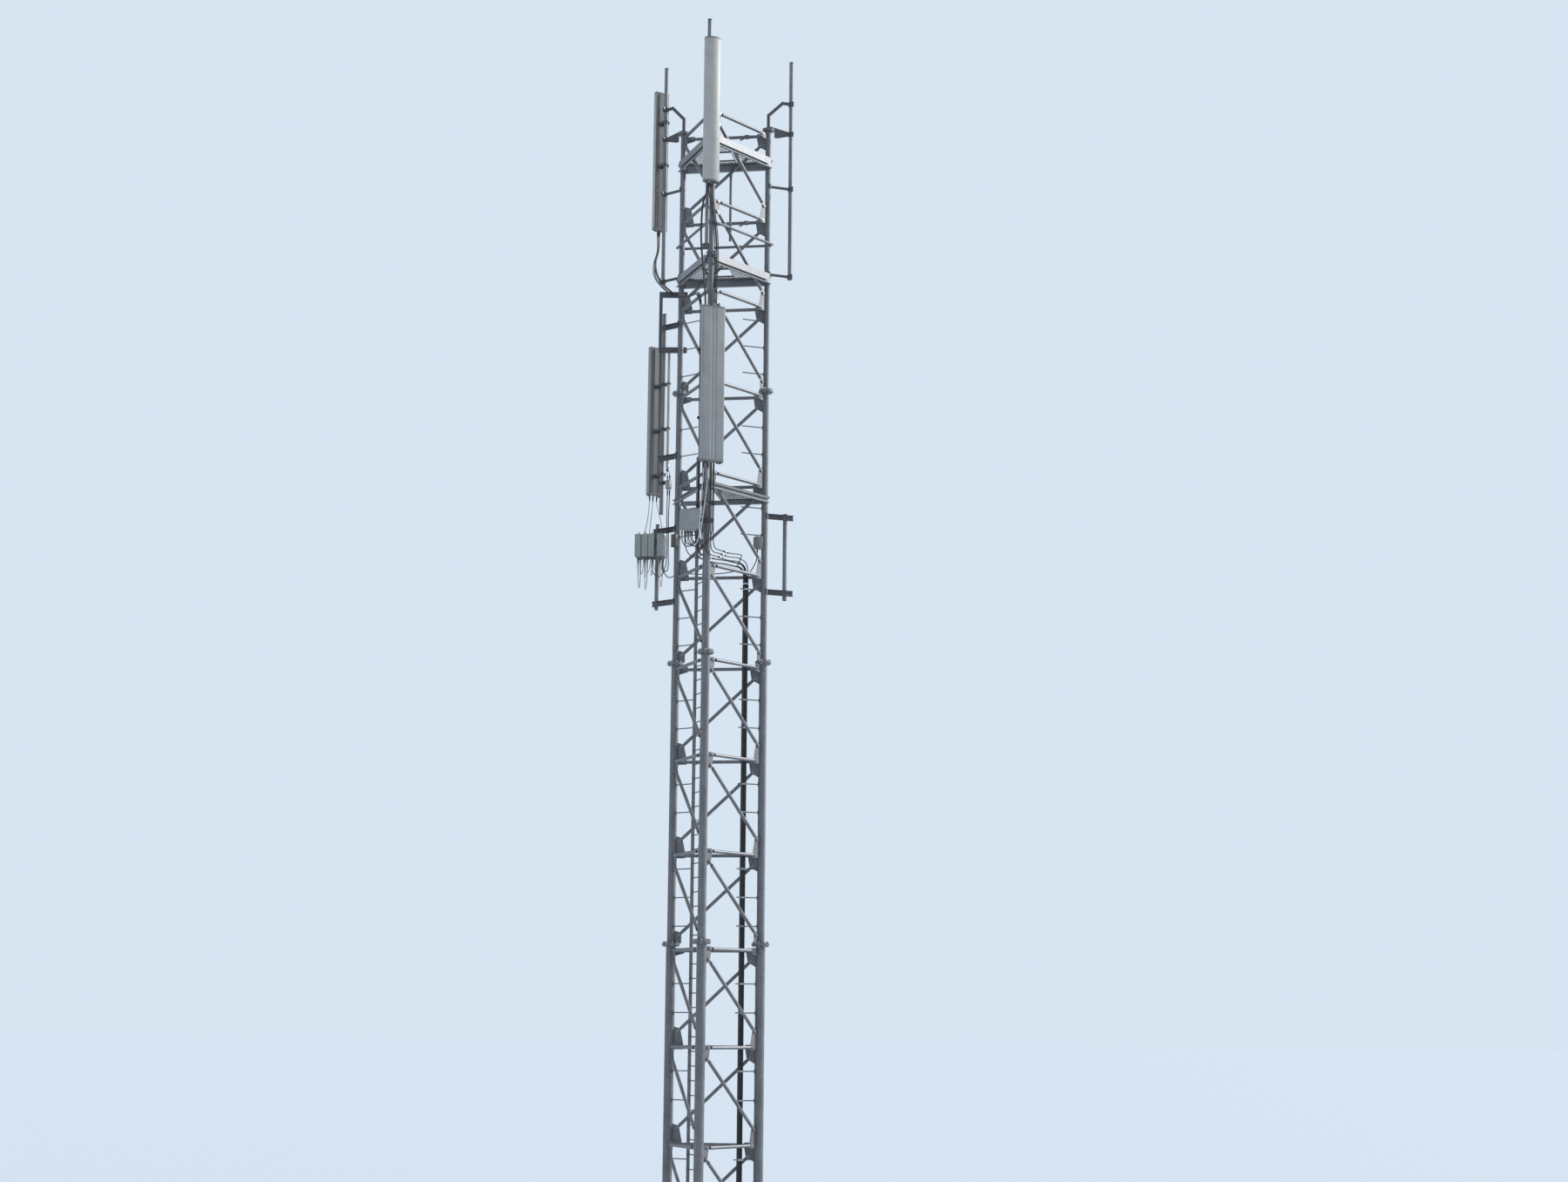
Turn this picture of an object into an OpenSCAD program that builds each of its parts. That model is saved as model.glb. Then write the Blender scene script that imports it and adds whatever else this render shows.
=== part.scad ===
/* [Tower] */
// Distance between the leg axes along one face
face_w = 1600; // [1400:10:2200]
// Length of one tower section, flange to flange
section_len = 5000; // [4500:50:6000]
// Number of braced panels in one section
panels = 3; // [2:1:4]
// Distance from a flange joint down to the horizontals below it
panel_drop = 110; // [100:5:160]
// Outside diameter of the legs in the bottom section
leg_d_1 = 168.3; // [139:0.1:194]
// Outside diameter of the legs in the second section
leg_d_2 = 139.7; // [114:0.1:168]
// Outside diameter of the legs in the third section
leg_d_3 = 114.3; // [101:0.1:140]
// Outside diameter of the legs in the top section
leg_d_4 = 101.6; // [88:0.1:115]
// Wall thickness of the leg tubes
leg_wall = 6.3; // [5:0.1:10]

/* [Flanges and base] */
// How far a flange stands out beyond the leg tube
flange_rim = 75; // [60:1:100]
// Thickness of one flange
flange_t = 20; // [12:1:30]
// Side of the square base plate
base_w = 450; // [400:5:600]
// Thickness of the base plate
base_t = 30; // [20:1:50]
// Diameter of the circle of anchor bolt holes
anchor_pcd = 460; // [440:5:500]
// Diameter of an anchor bolt hole
anchor_hole_d = 34; // [22:1:40]
// Number of anchor bolt holes in a base plate
anchor_count = 4; // [4:4:4]
// Diameter of the cap plate on top of a leg
cap_d = 220; // [200:5:260]

/* [Bracing] */
// Outside diameter of the brace tubes
brace_d = 60.3; // [42:0.1:70]
// Wall thickness of the brace tubes
brace_wall = 4; // [3:0.1:6]
// Thickness of the gusset plates
gusset_t = 10; // [8:1:14]
// How far a gusset reaches out from the leg tube
gusset_reach = 165; // [150:5:220]
// Thickness of the tongue plate at the end of a brace
tongue_t = 12; // [8:1:14]
// Width of the tongue plate
tongue_w = 52; // [40:1:60]
// Drop from the horizontal to the bolt at a diagonal's upper end
diag_drop = 190; // [170:5:230]
// Rise from the horizontal to the bolt at a diagonal's lower end
diag_rise = 280; // [250:5:300]

/* [Ladder and brackets] */
// Distance from the left leg's axis to the nearer ladder stile
ladder_in = 470; // [400:5:520]
// Clear width between the two ladder stiles
ladder_w = 400; // [300:10:450]
// Width of a stile's flat bar
stile_w = 60; // [40:1:80]
// Thickness of a stile's flat bar
stile_t = 12; // [8:1:20]
// Distance from rung to rung
rung_pitch = 250; // [230:5:300]
// Diameter of a rung
rung_d = 20; // [16:1:30]
// Height of the ladder's foot above the base
ladder_foot = 340; // [200:10:600]
// Height of the ladder's top above the base
ladder_top = 13750; // [13500:50:14200]
// Distance between the brackets up a leg
bracket_pitch = 500; // [400:10:600]
// Diameter of a bracket's rod
bracket_d = 20; // [16:1:30]
// Height of the lowest bracket
bracket_first = 315; // [300:5:400]
// Number of bracket places up a leg
bracket_count = 33; // [20:1:33]
// Distance from the right leg's axis to the ends of its brackets
bracket_reach = 460; // [430:5:500]

/* [Cables] */
// Diameter of a feeder cable
feeder_d = 28; // [16:1:40]
// Distance from the right leg's axis to the nearest feeder cable
feeder_in = 290; // [270:5:330]
// Diameter of a jumper cable
jumper_d = 18; // [12:1:28]

/* [Platforms] */
// Height of the underside of the upper platform's beams
upper_z = 19250; // [19150:10:19300]
// Height of the underside of the lower platform's beams
lower_z = 17025; // [16960:5:17030]
// Depth of a platform beam
beam_h = 120; // [100:5:140]
// Flange width of a platform beam
beam_w = 50; // [40:1:70]
// Steel thickness of a platform beam
beam_t = 8; // [5:1:12]
// Height of the toe boards
toe_h = 130; // [100:5:150]
// Distance that the toe boards lap down over the beams
toe_lap = 70; // [40:5:90]
// Distance from a leg's axis to the end of a toe board
toe_start = 50; // [30:5:120]
// Thickness of the toe boards
toe_t = 6; // [4:1:10]
// Thickness of the grating
grating_t = 30; // [25:1:40]
// Length of the climbing hatch along the back face
hatch_l = 500; // [450:10:560]
// Width of the climbing hatch
hatch_w = 450; // [420:10:500]
// Height of the guard rail on the lower platform
rail_z = 17790; // [17600:10:17850]
// Diameter of the guard rail tubes
rail_d = 48.3; // [33:0.1:60]
// Height of the underside of the rest landing's beams
landing_z = 12920; // [12800:10:12950]
// Depth of a rest landing beam
landing_h = 80; // [60:5:100]

/* [Poles] */
// Outside diameter of the equipment poles
pole_d = 76.1; // [60:0.1:89]
// Wall thickness of the equipment poles
pole_wall = 4; // [3:0.1:6]
// Distance from a leg's axis out to its top pole
top_pole_out = 450; // [400:5:550]
// Height of the foot of the top poles
top_pole_foot = 17170; // [17100:5:17250]
// Height of the top of the left and right top poles
side_pole_top = 21390; // [21000:10:21800]
// Height of the top of the front top pole
front_pole_top = 21460; // [21100:10:21900]
// Distance from a leg's axis out to the front and right lower poles
lower_pole_out = 420; // [380:5:480]
// Distance from the left leg's axis out to the lower left pole
left_pole_out = 450; // [420:5:480]
// Distance from the left leg's axis out to the radio pole
radio_pole_out = 530; // [490:5:580]
// Depth of a pole clamp
clamp_h = 80; // [60:5:100]
// Thickness of a pole clamp's band
clamp_t = 10; // [6:1:16]
// Diameter of the bent tube and the straight arms
arm_d = 60.3; // [48:0.1:76]
// Depth of a channel arm
channel_h = 100; // [80:5:120]
// Flange width of a channel arm
channel_w = 40; // [30:1:50]

/* [Antennas] */
// Width of an upper antenna
upper_ant_w = 290; // [240:5:320]
// Depth of an upper antenna
upper_ant_t = 140; // [110:5:170]
// Length of an upper antenna
upper_ant_l = 2700; // [2500:10:2900]
// Height of the bottom of the upper front antenna
upper_front_z = 18340; // [18200:10:18450]
// Height of the bottom of the upper left antenna
upper_left_z = 18250; // [18150:10:18400]
// Width of a lower antenna
lower_ant_w = 430; // [380:5:480]
// Depth of a lower antenna
lower_ant_t = 110; // [90:5:140]
// Length of a lower antenna
lower_ant_l = 2800; // [2600:10:2950]
// Height of the bottom of the lower front antenna
lower_front_z = 13260; // [13180:10:13350]
// Height of the bottom of the lower left antenna
lower_left_z = 13210; // [13150:10:13300]
// Width of the lower left antenna
left_ant_w = 300; // [260:5:340]
// Gap between a pole's surface and an antenna's back
ant_gap = 80; // [60:1:110]
// Gap between the lower left pole's surface and its antenna's back
left_ant_gap = 175; // [140:5:200]
// Diameter of the slim round antenna
slim_d = 58; // [45:1:64]
// Length of the slim round antenna
slim_l = 2220; // [1900:10:2400]
// Height of the bottom of the slim round antenna
slim_z = 13680; // [13600:10:13740]
// Distance from the lower left pole's axis to the slim antenna's
slim_off = 130; // [115:1:150]
// Direction in which the upper front antenna looks
upper_front_look = -60; // [-75:1:-50]
// Direction in which the lower front antenna looks
lower_front_look = -56; // [-70:1:-45]
// Direction in which the upper left antenna looks
upper_left_look = 134; // [115:1:140]
// Direction in which the lower left antenna looks
lower_left_look = 133; // [120:1:145]

/* [Radios] */
// Height of a radio unit
radio_h = 420; // [350:5:480]
// Width of a radio unit
radio_w = 112; // [90:1:125]
// Depth of a radio unit
radio_l = 300; // [240:5:360]
// Height of the underside of the left radio units
radio_z = 11970; // [11930:5:12020]
// Side of the square front radio box
box_w = 365; // [340:5:440]
// Depth of the front radio box
box_t = 130; // [100:5:200]
// Height of the filter box below the slim antenna
filter_h = 180; // [120:5:220]

/* [Hidden] */

// Legs and faces are counted 0 left, 1 front, 2 right; face i runs from leg i to the next leg
LEFT = 0;
FRONT = 1;
RIGHT = 2;
SECTIONS = 4;
steel = [0.62, 0.64, 0.65];
dark_steel = [0.42, 0.44, 0.45];
pale = [0.78, 0.80, 0.78];
black = [0.12, 0.12, 0.13];
fit_gap = 0.3;
weld_gap = 0.1;
tube_fn = 48;
ear = 32;
rod_fn = 24;
cable_sides = 8;

face_h = face_w * sin(60);
panel_h = section_len / panels;
leg_ds = [leg_d_1, leg_d_2, leg_d_3, leg_d_4];
gusset_edge = 45;
start_bolt = 95;
end_bolt = 75;
bolt_inset = 45;
tongue_lap = 35;
brace_neck = 70;
brace_side = gusset_t / 2 + tongue_t / 2 + weld_gap;

function leg_pos(i) = i == LEFT ? [-face_w / 2, face_h] : i == FRONT ? [0, 0] : [face_w / 2, face_h];
function leg_angle(i) = 150 + 120 * i;
function face_angle(i) = 120 * i - 60;
function leg_r(sec) = leg_ds[sec - 1] / 2;
function flange_r(joint) = leg_r(joint) + flange_rim;
function joint_z(joint) = joint * section_len;
function level(sec, k) = joint_z(sec) - panel_drop - k * panel_h;
function polar(p, a, d) = [p.x + d * cos(a), p.y + d * sin(a)];
function out_of(i, d) = polar(leg_pos(i), leg_angle(i), d);

module at_leg(i, z = 0) {
    p = leg_pos(i);
    translate([p.x, p.y, z]) rotate(leg_angle(i)) children();
}

module at_face(i, z = 0) {
    p = leg_pos(i);
    translate([p.x, p.y, z]) rotate(face_angle(i)) children();
}

// A hollow tube standing on the XY plane
module tube(d, wall, h) {
    difference() {
        cylinder(d = d, h = h, $fn = tube_fn);
        translate([0, 0, -1]) cylinder(d = d - 2 * wall, h = h + 2, $fn = tube_fn);
    }
}

// A rod from point a to point b
module rod(a, b, d, fn = rod_fn) {
    v = b - a;
    translate(a) rotate([0, acos(v.z / norm(v)), atan2(v.y, v.x)]) cylinder(d = d, h = norm(v), $fn = fn);
}

// A plate standing on edge in the XZ plane
module upright_plate(points, t) {
    rotate([90, 0, 0]) linear_extrude(t, center = true) polygon(points);
}

// A closed band round a pipe that stands on the XY plane, centred in height
module band(pipe_d, t, h) {
    difference() {
        cylinder(d = pipe_d + 2 * fit_gap + 2 * t, h = h, center = true, $fn = tube_fn);
        cylinder(d = pipe_d + 2 * fit_gap, h = h + 2, center = true, $fn = tube_fn);
    }
}

// The outer half of a band with its two bolting ears, for a leg whose inner side carries gussets
module saddle(pipe_d, t, h) {
    r = pipe_d / 2 + fit_gap;
    difference() {
        union() {
            cylinder(r = r + t, h = h, center = true, $fn = tube_fn);
            translate([0, -r - ear, -h / 2]) cube([t, 2 * (r + ear), h]);
        }
        cylinder(r = r, h = h + 2, center = true, $fn = tube_fn);
        translate([-2 * r - 2 * t, -2 * r, -h]) cube([2 * (r + t), 4 * r, 2 * h]);
    }
}

// Gusset at a leg for a horizontal and for the diagonal that starts below it
module start_gusset(r) {
    x = r + start_bolt;
    upright_plate([
        [r + weld_gap, gusset_edge], [r + gusset_reach, gusset_edge], [r + gusset_reach, -gusset_edge],
        [x + 40, -diag_drop - 30], [x - 20, -diag_drop - 45], [r + weld_gap, -diag_drop - 90]
    ], gusset_t);
}

// Gusset at a leg for a horizontal and for the diagonal that ends above it
module end_gusset(r) {
    x = r + end_bolt;
    upright_plate([
        [r + weld_gap, -gusset_edge], [r + gusset_reach, -gusset_edge], [r + gusset_reach, gusset_edge],
        [x + 40, diag_rise], [x + 20, diag_rise + 40], [r + weld_gap, diag_rise + 70]
    ], gusset_t);
}

// Gusset at a leg for a horizontal alone, at the top of the tower
module top_gusset(r) {
    upright_plate([
        [r + weld_gap, -2 * gusset_edge], [r + gusset_reach, -gusset_edge],
        [r + gusset_reach, gusset_edge], [r + weld_gap, gusset_edge]
    ], gusset_t);
}

// Gusset above a bottom flange for the last diagonal of a section
module foot_gusset(r, low) {
    x = r + end_bolt;
    top = diag_rise - panel_drop;
    upright_plate([
        [r + weld_gap, low], [x + 40, low], [x + 40, top],
        [x + 20, top + 40], [r + weld_gap, top + 70]
    ], gusset_t);
}

// One leg of section sec on leg i: its tube, with the flanges and gussets that are welded on
module leg(i, sec) {
    r = leg_r(sec);
    z0 = joint_z(sec - 1);
    low = (sec == 1 ? base_t : flange_t) + weld_gap;
    foot = sec == 1 ? base_t + weld_gap : 0;
    head = section_len - (sec == SECTIONS ? flange_t + weld_gap : 0);
    color(steel) {
        at_leg(i, z0) {
            translate([0, 0, foot]) tube(2 * r, leg_wall, head - foot);
            if (sec == 1) base_plate();
            else flange(r, flange_r(sec - 1));
            translate([0, 0, section_len - flange_t]) if (sec < SECTIONS) flange(r, flange_r(sec));
            else cylinder(d = cap_d, h = flange_t, $fn = tube_fn);
        }
        translate([leg_pos(i).x, leg_pos(i).y, 0]) {
            for (k = [0:panels - 1]) translate([0, 0, level(sec, k)]) {
                rotate(face_angle(i)) start_gusset(r);
                rotate(face_angle(i) + 60) if (k == 0) top_gusset(r);
                else end_gusset(r);
            }
            translate([0, 0, z0]) rotate(face_angle(i) + 60) foot_gusset(r, low);
        }
    }
}

// A flange ring slipped over a leg tube's end
module flange(r, rim_r) {
    difference() {
        cylinder(r = rim_r, h = flange_t, $fn = tube_fn);
        translate([0, 0, -1]) cylinder(r = r + weld_gap, h = flange_t + 2, $fn = tube_fn);
    }
}

// Square base plate with its anchor bolt holes on a circle
module base_plate() {
    difference() {
        translate([-base_w / 2, -base_w / 2, 0]) cube([base_w, base_w, base_t]);
        for (a = [0:360 / anchor_count:359]) rotate(a + 45) translate([anchor_pcd / 2, 0, -1])
            cylinder(d = anchor_hole_d, h = base_t + 2, $fn = rod_fn);
    }
}

// A brace tube from bolt to bolt in a face's XZ plane, with tongues slotted into its ends
module brace(a, b) {
    v = b - a;
    len = norm(v);
    translate([a.x, -brace_side, a.y]) rotate([0, -atan2(v.y, v.x), 0]) {
        difference() {
            translate([brace_neck, 0, 0]) rotate([0, 90, 0])
                cylinder(d = brace_d, h = len - 2 * brace_neck, $fn = tube_fn);
            rotate([0, 90, 0]) cylinder(d = brace_d - 2 * brace_wall, h = len, $fn = tube_fn);
        }
        for (x = [-tongue_lap, len - brace_neck - 40]) translate([x, -tongue_t / 2, -tongue_w / 2])
            cube([tongue_lap + brace_neck + 40, tongue_t, tongue_w]);
    }
}

function level_bolt(sec) = leg_r(sec) + gusset_reach - bolt_inset;
function diag_top(sec, k) = [leg_r(sec) + start_bolt, level(sec, k) - diag_drop];
function diag_foot(sec, k) = [face_w - leg_r(sec) - end_bolt, level(sec, k + 1) + diag_rise];

// All horizontals and diagonals of one face
module bracing(i) {
    color(steel) at_face(i) for (sec = [1:SECTIONS]) for (k = [0:panels - 1]) {
        brace([level_bolt(sec), level(sec, k)], [face_w - level_bolt(sec), level(sec, k)]);
        brace(diag_top(sec, k), diag_foot(sec, k));
    }
}

// The space that a face's diagonal of the panel k needs, for cut-outs
module diagonal_space(i, sec, k) {
    at_face(i) {
        a = diag_top(sec, k);
        b = diag_foot(sec, k);
        rod([a.x, -brace_side, a.y], [b.x, -brace_side, b.y], brace_d + 30, tube_fn);
    }
}

ladder_a = polar(leg_pos(LEFT), leg_angle(LEFT), -ladder_in);
stile_end = 60;
rung_count = floor((ladder_top - ladder_foot - 2 * stile_end) / rung_pitch);

// Climbing ladder inside the left face: two flat stiles with round rungs welded between them
module ladder() {
    side = stile_t / 2 + weld_gap;
    color(steel) translate([ladder_a.x, ladder_a.y, ladder_foot]) rotate(face_angle(LEFT)) {
        for (x = [0, ladder_w]) translate([x - stile_t / 2, -stile_w / 2, 0])
            cube([stile_t, stile_w, ladder_top - ladder_foot]);
        for (n = [0:rung_count]) translate([0, 0, stile_end + n * rung_pitch])
            rod([side, 0, 0], [ladder_w - side, 0, 0], rung_d);
    }
}

function leg_section(z) = min(SECTIONS, max(1, ceil(z / section_len)));
skip_below = 235;
skip_above = 345;
function near_gusset(z) = len([
    for (sec = [1:SECTIONS]) for (k = [0:panels])
        if (z > level(sec, k) - skip_below && z < level(sec, k) + skip_above) 1
]) > 0;
bracket_zs = [
    for (n = [0:bracket_count - 1]) let (z = bracket_first + n * bracket_pitch) if (!near_gusset(z)) z
];
foot_w = 36;
foot_t = 8;
foot_h = 70;

// Rod brackets that run inwards from a leg to reach the length given
module rod_brackets(i, reach) {
    for (z = bracket_zs) {
        r = leg_r(leg_section(z));
        at_leg(i, z) {
            translate([-r - fit_gap - foot_t, -foot_w / 2, -foot_h / 2]) cube([foot_t, foot_w, foot_h]);
            rod([-r - fit_gap - foot_t / 2, 0, 0], [-reach, 0, 0], bracket_d);
        }
    }
}

// The left brackets meet the flat face of the ladder's stile at a slant
module leg_brackets() {
    slant = leg_angle(LEFT) - 180 - face_angle(LEFT);
    color(steel) {
        rod_brackets(LEFT, ladder_in - (stile_t + bracket_d * sin(slant)) / (2 * cos(slant)) - fit_gap);
        rod_brackets(RIGHT, bracket_reach);
    }
}

feeder_top = 11380;
feeder_rows = 3;
feeder_pitch = feeder_d + fit_gap;

function feeder_x(m) = feeder_in + feeder_d / 2 + m * feeder_pitch;
function feeder_y(n) = (bracket_d + feeder_d) / 2 + fit_gap + n * feeder_pitch;

// Feeder cables standing in a square bundle beside the right leg's brackets
module feeder_cables() {
    color(black) at_leg(RIGHT) for (m = [0:feeder_rows - 1]) for (n = [0:feeder_rows - 1])
        translate([-feeder_x(m), feeder_y(n), 0]) cylinder(d = feeder_d, h = feeder_top, $fn = rod_fn);
}

beam_past = -35;

module platform_beams(z, sec, h, toe) {
    r = leg_r(sec);
    ext = r + beam_past;
    color(dark_steel) for (i = [LEFT, FRONT, RIGHT]) at_face(i, z) {
        y = -r - fit_gap - beam_w;
        difference() {
            translate([-ext, y, 0]) cube([face_w + 2 * ext, beam_w, h]);
            translate([-ext - 1, y - 1, beam_t])
                cube([face_w + 2 * ext + 2, beam_w - beam_t + 1, h - 2 * beam_t]);
        }
        if (toe > 0) translate([toe_start, y, h - toe_lap]) cube([face_w - 2 * toe_start, toe_t, toe]);
    }
}

slot_w = 110;
slot_past = 20;
leg_room = 15;
toe_room = 2;

// Point of the grating's outline beside leg i, on the face before it or after it, just inside the toe boards
function grating_corner(i, sec, before) = let (
    a = face_angle(i) - (before ? 120 : 0),
    ext = leg_r(sec) + beam_past
) polar(polar(leg_pos(i), a, before ? ext : -ext), a - 90, leg_r(sec) + fit_gap + beam_w - toe_t - toe_room);

function grating_outline(sec) = [
    for (i = [LEFT, FRONT, RIGHT]) for (before = [true, false]) grating_corner(i, sec, before)
];

module grating(z, sec, k) {
    color(dark_steel) difference() {
        translate([0, 0, z]) linear_extrude(grating_t) polygon(grating_outline(sec));
        for (i = [LEFT, FRONT, RIGHT]) {
            translate([leg_pos(i).x, leg_pos(i).y, z - 1])
                cylinder(r = leg_r(sec) + leg_room, h = grating_t + 2, $fn = tube_fn);
            diagonal_space(i, sec, k);
            for (a = [0, 60]) translate([leg_pos(i).x, leg_pos(i).y, z - 1]) rotate(face_angle(i) + a)
                translate([0, -slot_w / 2, 0]) cube([leg_r(sec) + gusset_reach + slot_past, slot_w, grating_t + 2]);
        }
        children();
    }
}

hatch_mid = [-50, 1005];
seam = 3;

// The climbing hatch, and the seams beside it that part the grating into four panels
module hatch(z) {
    translate([hatch_mid.x, hatch_mid.y, z - 1]) {
        translate([-hatch_l / 2, -hatch_w / 2, 0]) cube([hatch_l, hatch_w, grating_t + 2]);
        for (x = [-hatch_l / 2, hatch_l / 2]) translate([x - seam / 2, -face_w, 0])
            cube([seam, 2 * face_w, grating_t + 2]);
    }
}

module upper_platform_frame() platform_beams(upper_z, 4, beam_h, toe_h);
module upper_platform_grating() grating(upper_z + beam_h, 4, 0) hatch(upper_z + beam_h);
module lower_platform_frame() platform_beams(lower_z, 4, beam_h, toe_h);
module lower_platform_grating() grating(lower_z + beam_h, 4, 1) hatch(lower_z + beam_h);
module landing_frame() platform_beams(landing_z, 3, landing_h, 0);

landing_edge = -20;

// The rest landing's grating covers the right part; the ladder passes on the left
module landing_grating() {
    grating(landing_z + landing_h, 3, 1)
        translate([-face_w, -face_w / 2, landing_z + landing_h - 1])
            cube([face_w + landing_edge, 2 * face_w, grating_t + 2]);
}

rail_past = 8;
post_x = 110;
post_rise = 80;
post_wall = 3;

// Guard rail tubes round the lower platform, and the post that hangs under the upper one
module guard_rail() {
    y = -leg_r(4) - fit_gap - rail_d / 2;
    ext = leg_r(4) + rail_past;
    color(steel) {
        for (i = [LEFT, FRONT, RIGHT]) at_face(i, rail_z)
            rod([-ext, y, 0], [face_w + ext, y, 0], rail_d, tube_fn);
        translate([post_x, face_h + brace_side - brace_d / 2 - fit_gap - rail_d / 2, rail_z + post_rise])
            tube(rail_d, post_wall, upper_z + beam_h - rail_z - post_rise - fit_gap);
    }
}

bend_rise = 270;
bend_out = 280;
knuckle_d = arm_d + 4;
head_z = joint_z(SECTIONS) + fit_gap;
plate_t = 20;
wing_low = 130;
wing_t = 12;

// Cranked tube on the leg top, with the deep arm plate and its clamps on the pole
module head_arm(i) {
    up = head_z + plate_t;
    knee = [0, 0, up + bend_rise];
    elbow = knee + [bend_out, 0, bend_out];
    high = elbow.z;
    pole_face = top_pole_out - pole_d / 2 - clamp_t / 2;
    at_leg(i) {
        translate([0, 0, head_z]) cylinder(d = cap_d, h = plate_t, $fn = tube_fn);
        rod([0, 0, up - 1], knee, arm_d, tube_fn);
        rod(knee, elbow, arm_d, tube_fn);
        rod(elbow, [pole_face, 0, high], arm_d, tube_fn);
        translate(knee) sphere(d = knuckle_d, $fn = tube_fn);
        translate(elbow) rotate([0, 90, 0]) sphere(d = knuckle_d, $fn = tube_fn);
        translate([top_pole_out, 0, high]) band(pole_d, clamp_t, clamp_h);
        upright_plate([
            [arm_d / 2 - 2, up - 1], [arm_d / 2 - 2, up + 60], [pole_face, up], [pole_face, up - clamp_h],
            [cap_d / 2 + 70, head_z - wing_low], [cap_d / 2 + 10, head_z - wing_low], [cap_d / 2 + 10, up - 1]
        ], wing_t);
        translate([top_pole_out, 0, up - clamp_h / 2]) band(pole_d, clamp_t, clamp_h);
    }
}

// Straight round arm between a leg and a pole that stands d out from it
module tube_arm(i, z, d) {
    r = leg_r(leg_section(z));
    at_leg(i, z) {
        saddle(2 * r, clamp_t, clamp_h);
        rod([r + clamp_t / 2, 0, 0], [d - pole_d / 2 - clamp_t / 2, 0, 0], arm_d - 10, tube_fn);
        translate([d, 0, 0]) band(pole_d, clamp_t, clamp_h);
    }
}

arm_room = 10;
channel_t = 6;

// Height of a channel arm, moved just clear of a flange pair that it would meet
function off_flange(z) = let (
    joint = joint_z(round(z / section_len)), room = channel_h / 2 + flange_t + arm_room
) abs(z - joint) >= room ? z : joint + (z < joint ? -room : room);

// Channel arm out from a leg; the pole stands against its web, on the side given
module channel_arm(i, z, length, side) {
    r = leg_r(leg_section(z));
    at_leg(i, z) mirror([0, side < 0 ? 1 : 0, 0]) {
        saddle(2 * r, clamp_t, channel_h);
        difference() {
            translate([r + clamp_t / 2, -channel_w / 2, -channel_h / 2])
                cube([length - r - clamp_t / 2, channel_w, channel_h]);
            translate([r + clamp_t + 2 * channel_t, -channel_w / 2 - channel_t, -channel_h / 2 + channel_t])
                cube([length, channel_w, channel_h - 2 * channel_t]);
        }
    }
}

mid_arm_z = 18910;

module top_arms(i) {
    color(dark_steel) {
        head_arm(i);
        tube_arm(i, mid_arm_z, top_pole_out);
        tube_arm(i, top_pole_foot + clamp_h / 2 + 10, top_pole_out);
    }
}

module pole(p, z0, z1) {
    translate([p.x, p.y, z0]) tube(pole_d, pole_wall, z1 - z0);
}

module top_pole(i) {
    color(steel) pole(out_of(i, top_pole_out), top_pole_foot, i == FRONT ? front_pole_top : side_pole_top);
}

lower_left_foot = 12810;
lower_left_top = 16600;
lower_front_foot = 12990;
lower_front_top = 15990;
radio_pole_foot = 11040;
radio_pole_top = 12620;
spare_foot = 11165;
spare_top = 12750;

pole_side = (channel_w + pole_d) / 2 + fit_gap;
arm_past = 60;
spare_past = 140;

function beside_arm(i, d, side) = polar(out_of(i, d), leg_angle(i) + 90, side * pole_side);

module lower_poles() {
    color(steel) {
        pole(left_low_p, lower_left_foot, lower_left_top);
        pole(beside_arm(LEFT, radio_pole_out, -1), radio_pole_foot, radio_pole_top);
        pole(front_low_p, lower_front_foot, lower_front_top);
        pole(beside_arm(RIGHT, lower_pole_out, 1), spare_foot, spare_top);
    }
}

module lower_arms_left() {
    color(dark_steel) {
        for (z = [lower_left_top - 280, lower_left_foot + 1030])
            channel_arm(LEFT, off_flange(z), left_pole_out + arm_past, -1);
        for (z = [radio_pole_top - 140, radio_pole_foot + 100])
            channel_arm(LEFT, off_flange(z), radio_pole_out + arm_past, -1);
    }
}

module lower_arms_front() {
    color(dark_steel) for (z = [lower_front_top - 290, lower_front_foot + 850])
        channel_arm(FRONT, off_flange(z), lower_pole_out + arm_past, 1);
}

module lower_arms_right() {
    color(dark_steel) for (z = [spare_top - 70, spare_foot + 125])
        channel_arm(RIGHT, off_flange(z), lower_pole_out + spare_past, 1);
}

frame_turn = 188;
frame_out = 405;
frame_back = 115;
frame_low = 15800;
frame_high = 16955;
frame_bar = 60;

// Empty bracket frame clamped behind the left leg: two arms and an upright
module empty_bracket() {
    p = leg_pos(LEFT);
    y = -leg_r(4) - fit_gap - frame_bar;
    color(dark_steel) translate([p.x, p.y, 0]) rotate(frame_turn) {
        for (z = [frame_low, frame_high - channel_h]) translate([-frame_back, y, z])
            cube([frame_out + frame_back, frame_bar, channel_h]);
        translate([frame_out - frame_bar, y, frame_low]) cube([frame_bar, frame_bar, frame_high - frame_low]);
    }
}

front_depth = 60;
front_fn = 96;

// Upper antenna: a long case with a round front, looking along +X from its pole
module upper_antenna() {
    front_r = (front_depth * front_depth + upper_ant_w * upper_ant_w / 4) / (2 * front_depth);
    side_t = upper_ant_t - front_depth;
    translate([pole_d / 2 + ant_gap, 0, 0]) {
        translate([0, -upper_ant_w / 2, 0]) cube([side_t, upper_ant_w, upper_ant_l]);
        intersection() {
            translate([upper_ant_t - front_r, 0, 0]) cylinder(r = front_r, h = upper_ant_l, $fn = front_fn);
            translate([side_t - 1, -upper_ant_w / 2, 0]) cube([upper_ant_w, upper_ant_w, upper_ant_l]);
        }
    }
}

// Lower antenna: a flat case, looking along +X from its pole
module lower_antenna(w, gap) {
    translate([pole_d / 2 + gap, -w / 2, 0]) cube([lower_ant_t, w, lower_ant_l]);
}

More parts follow.
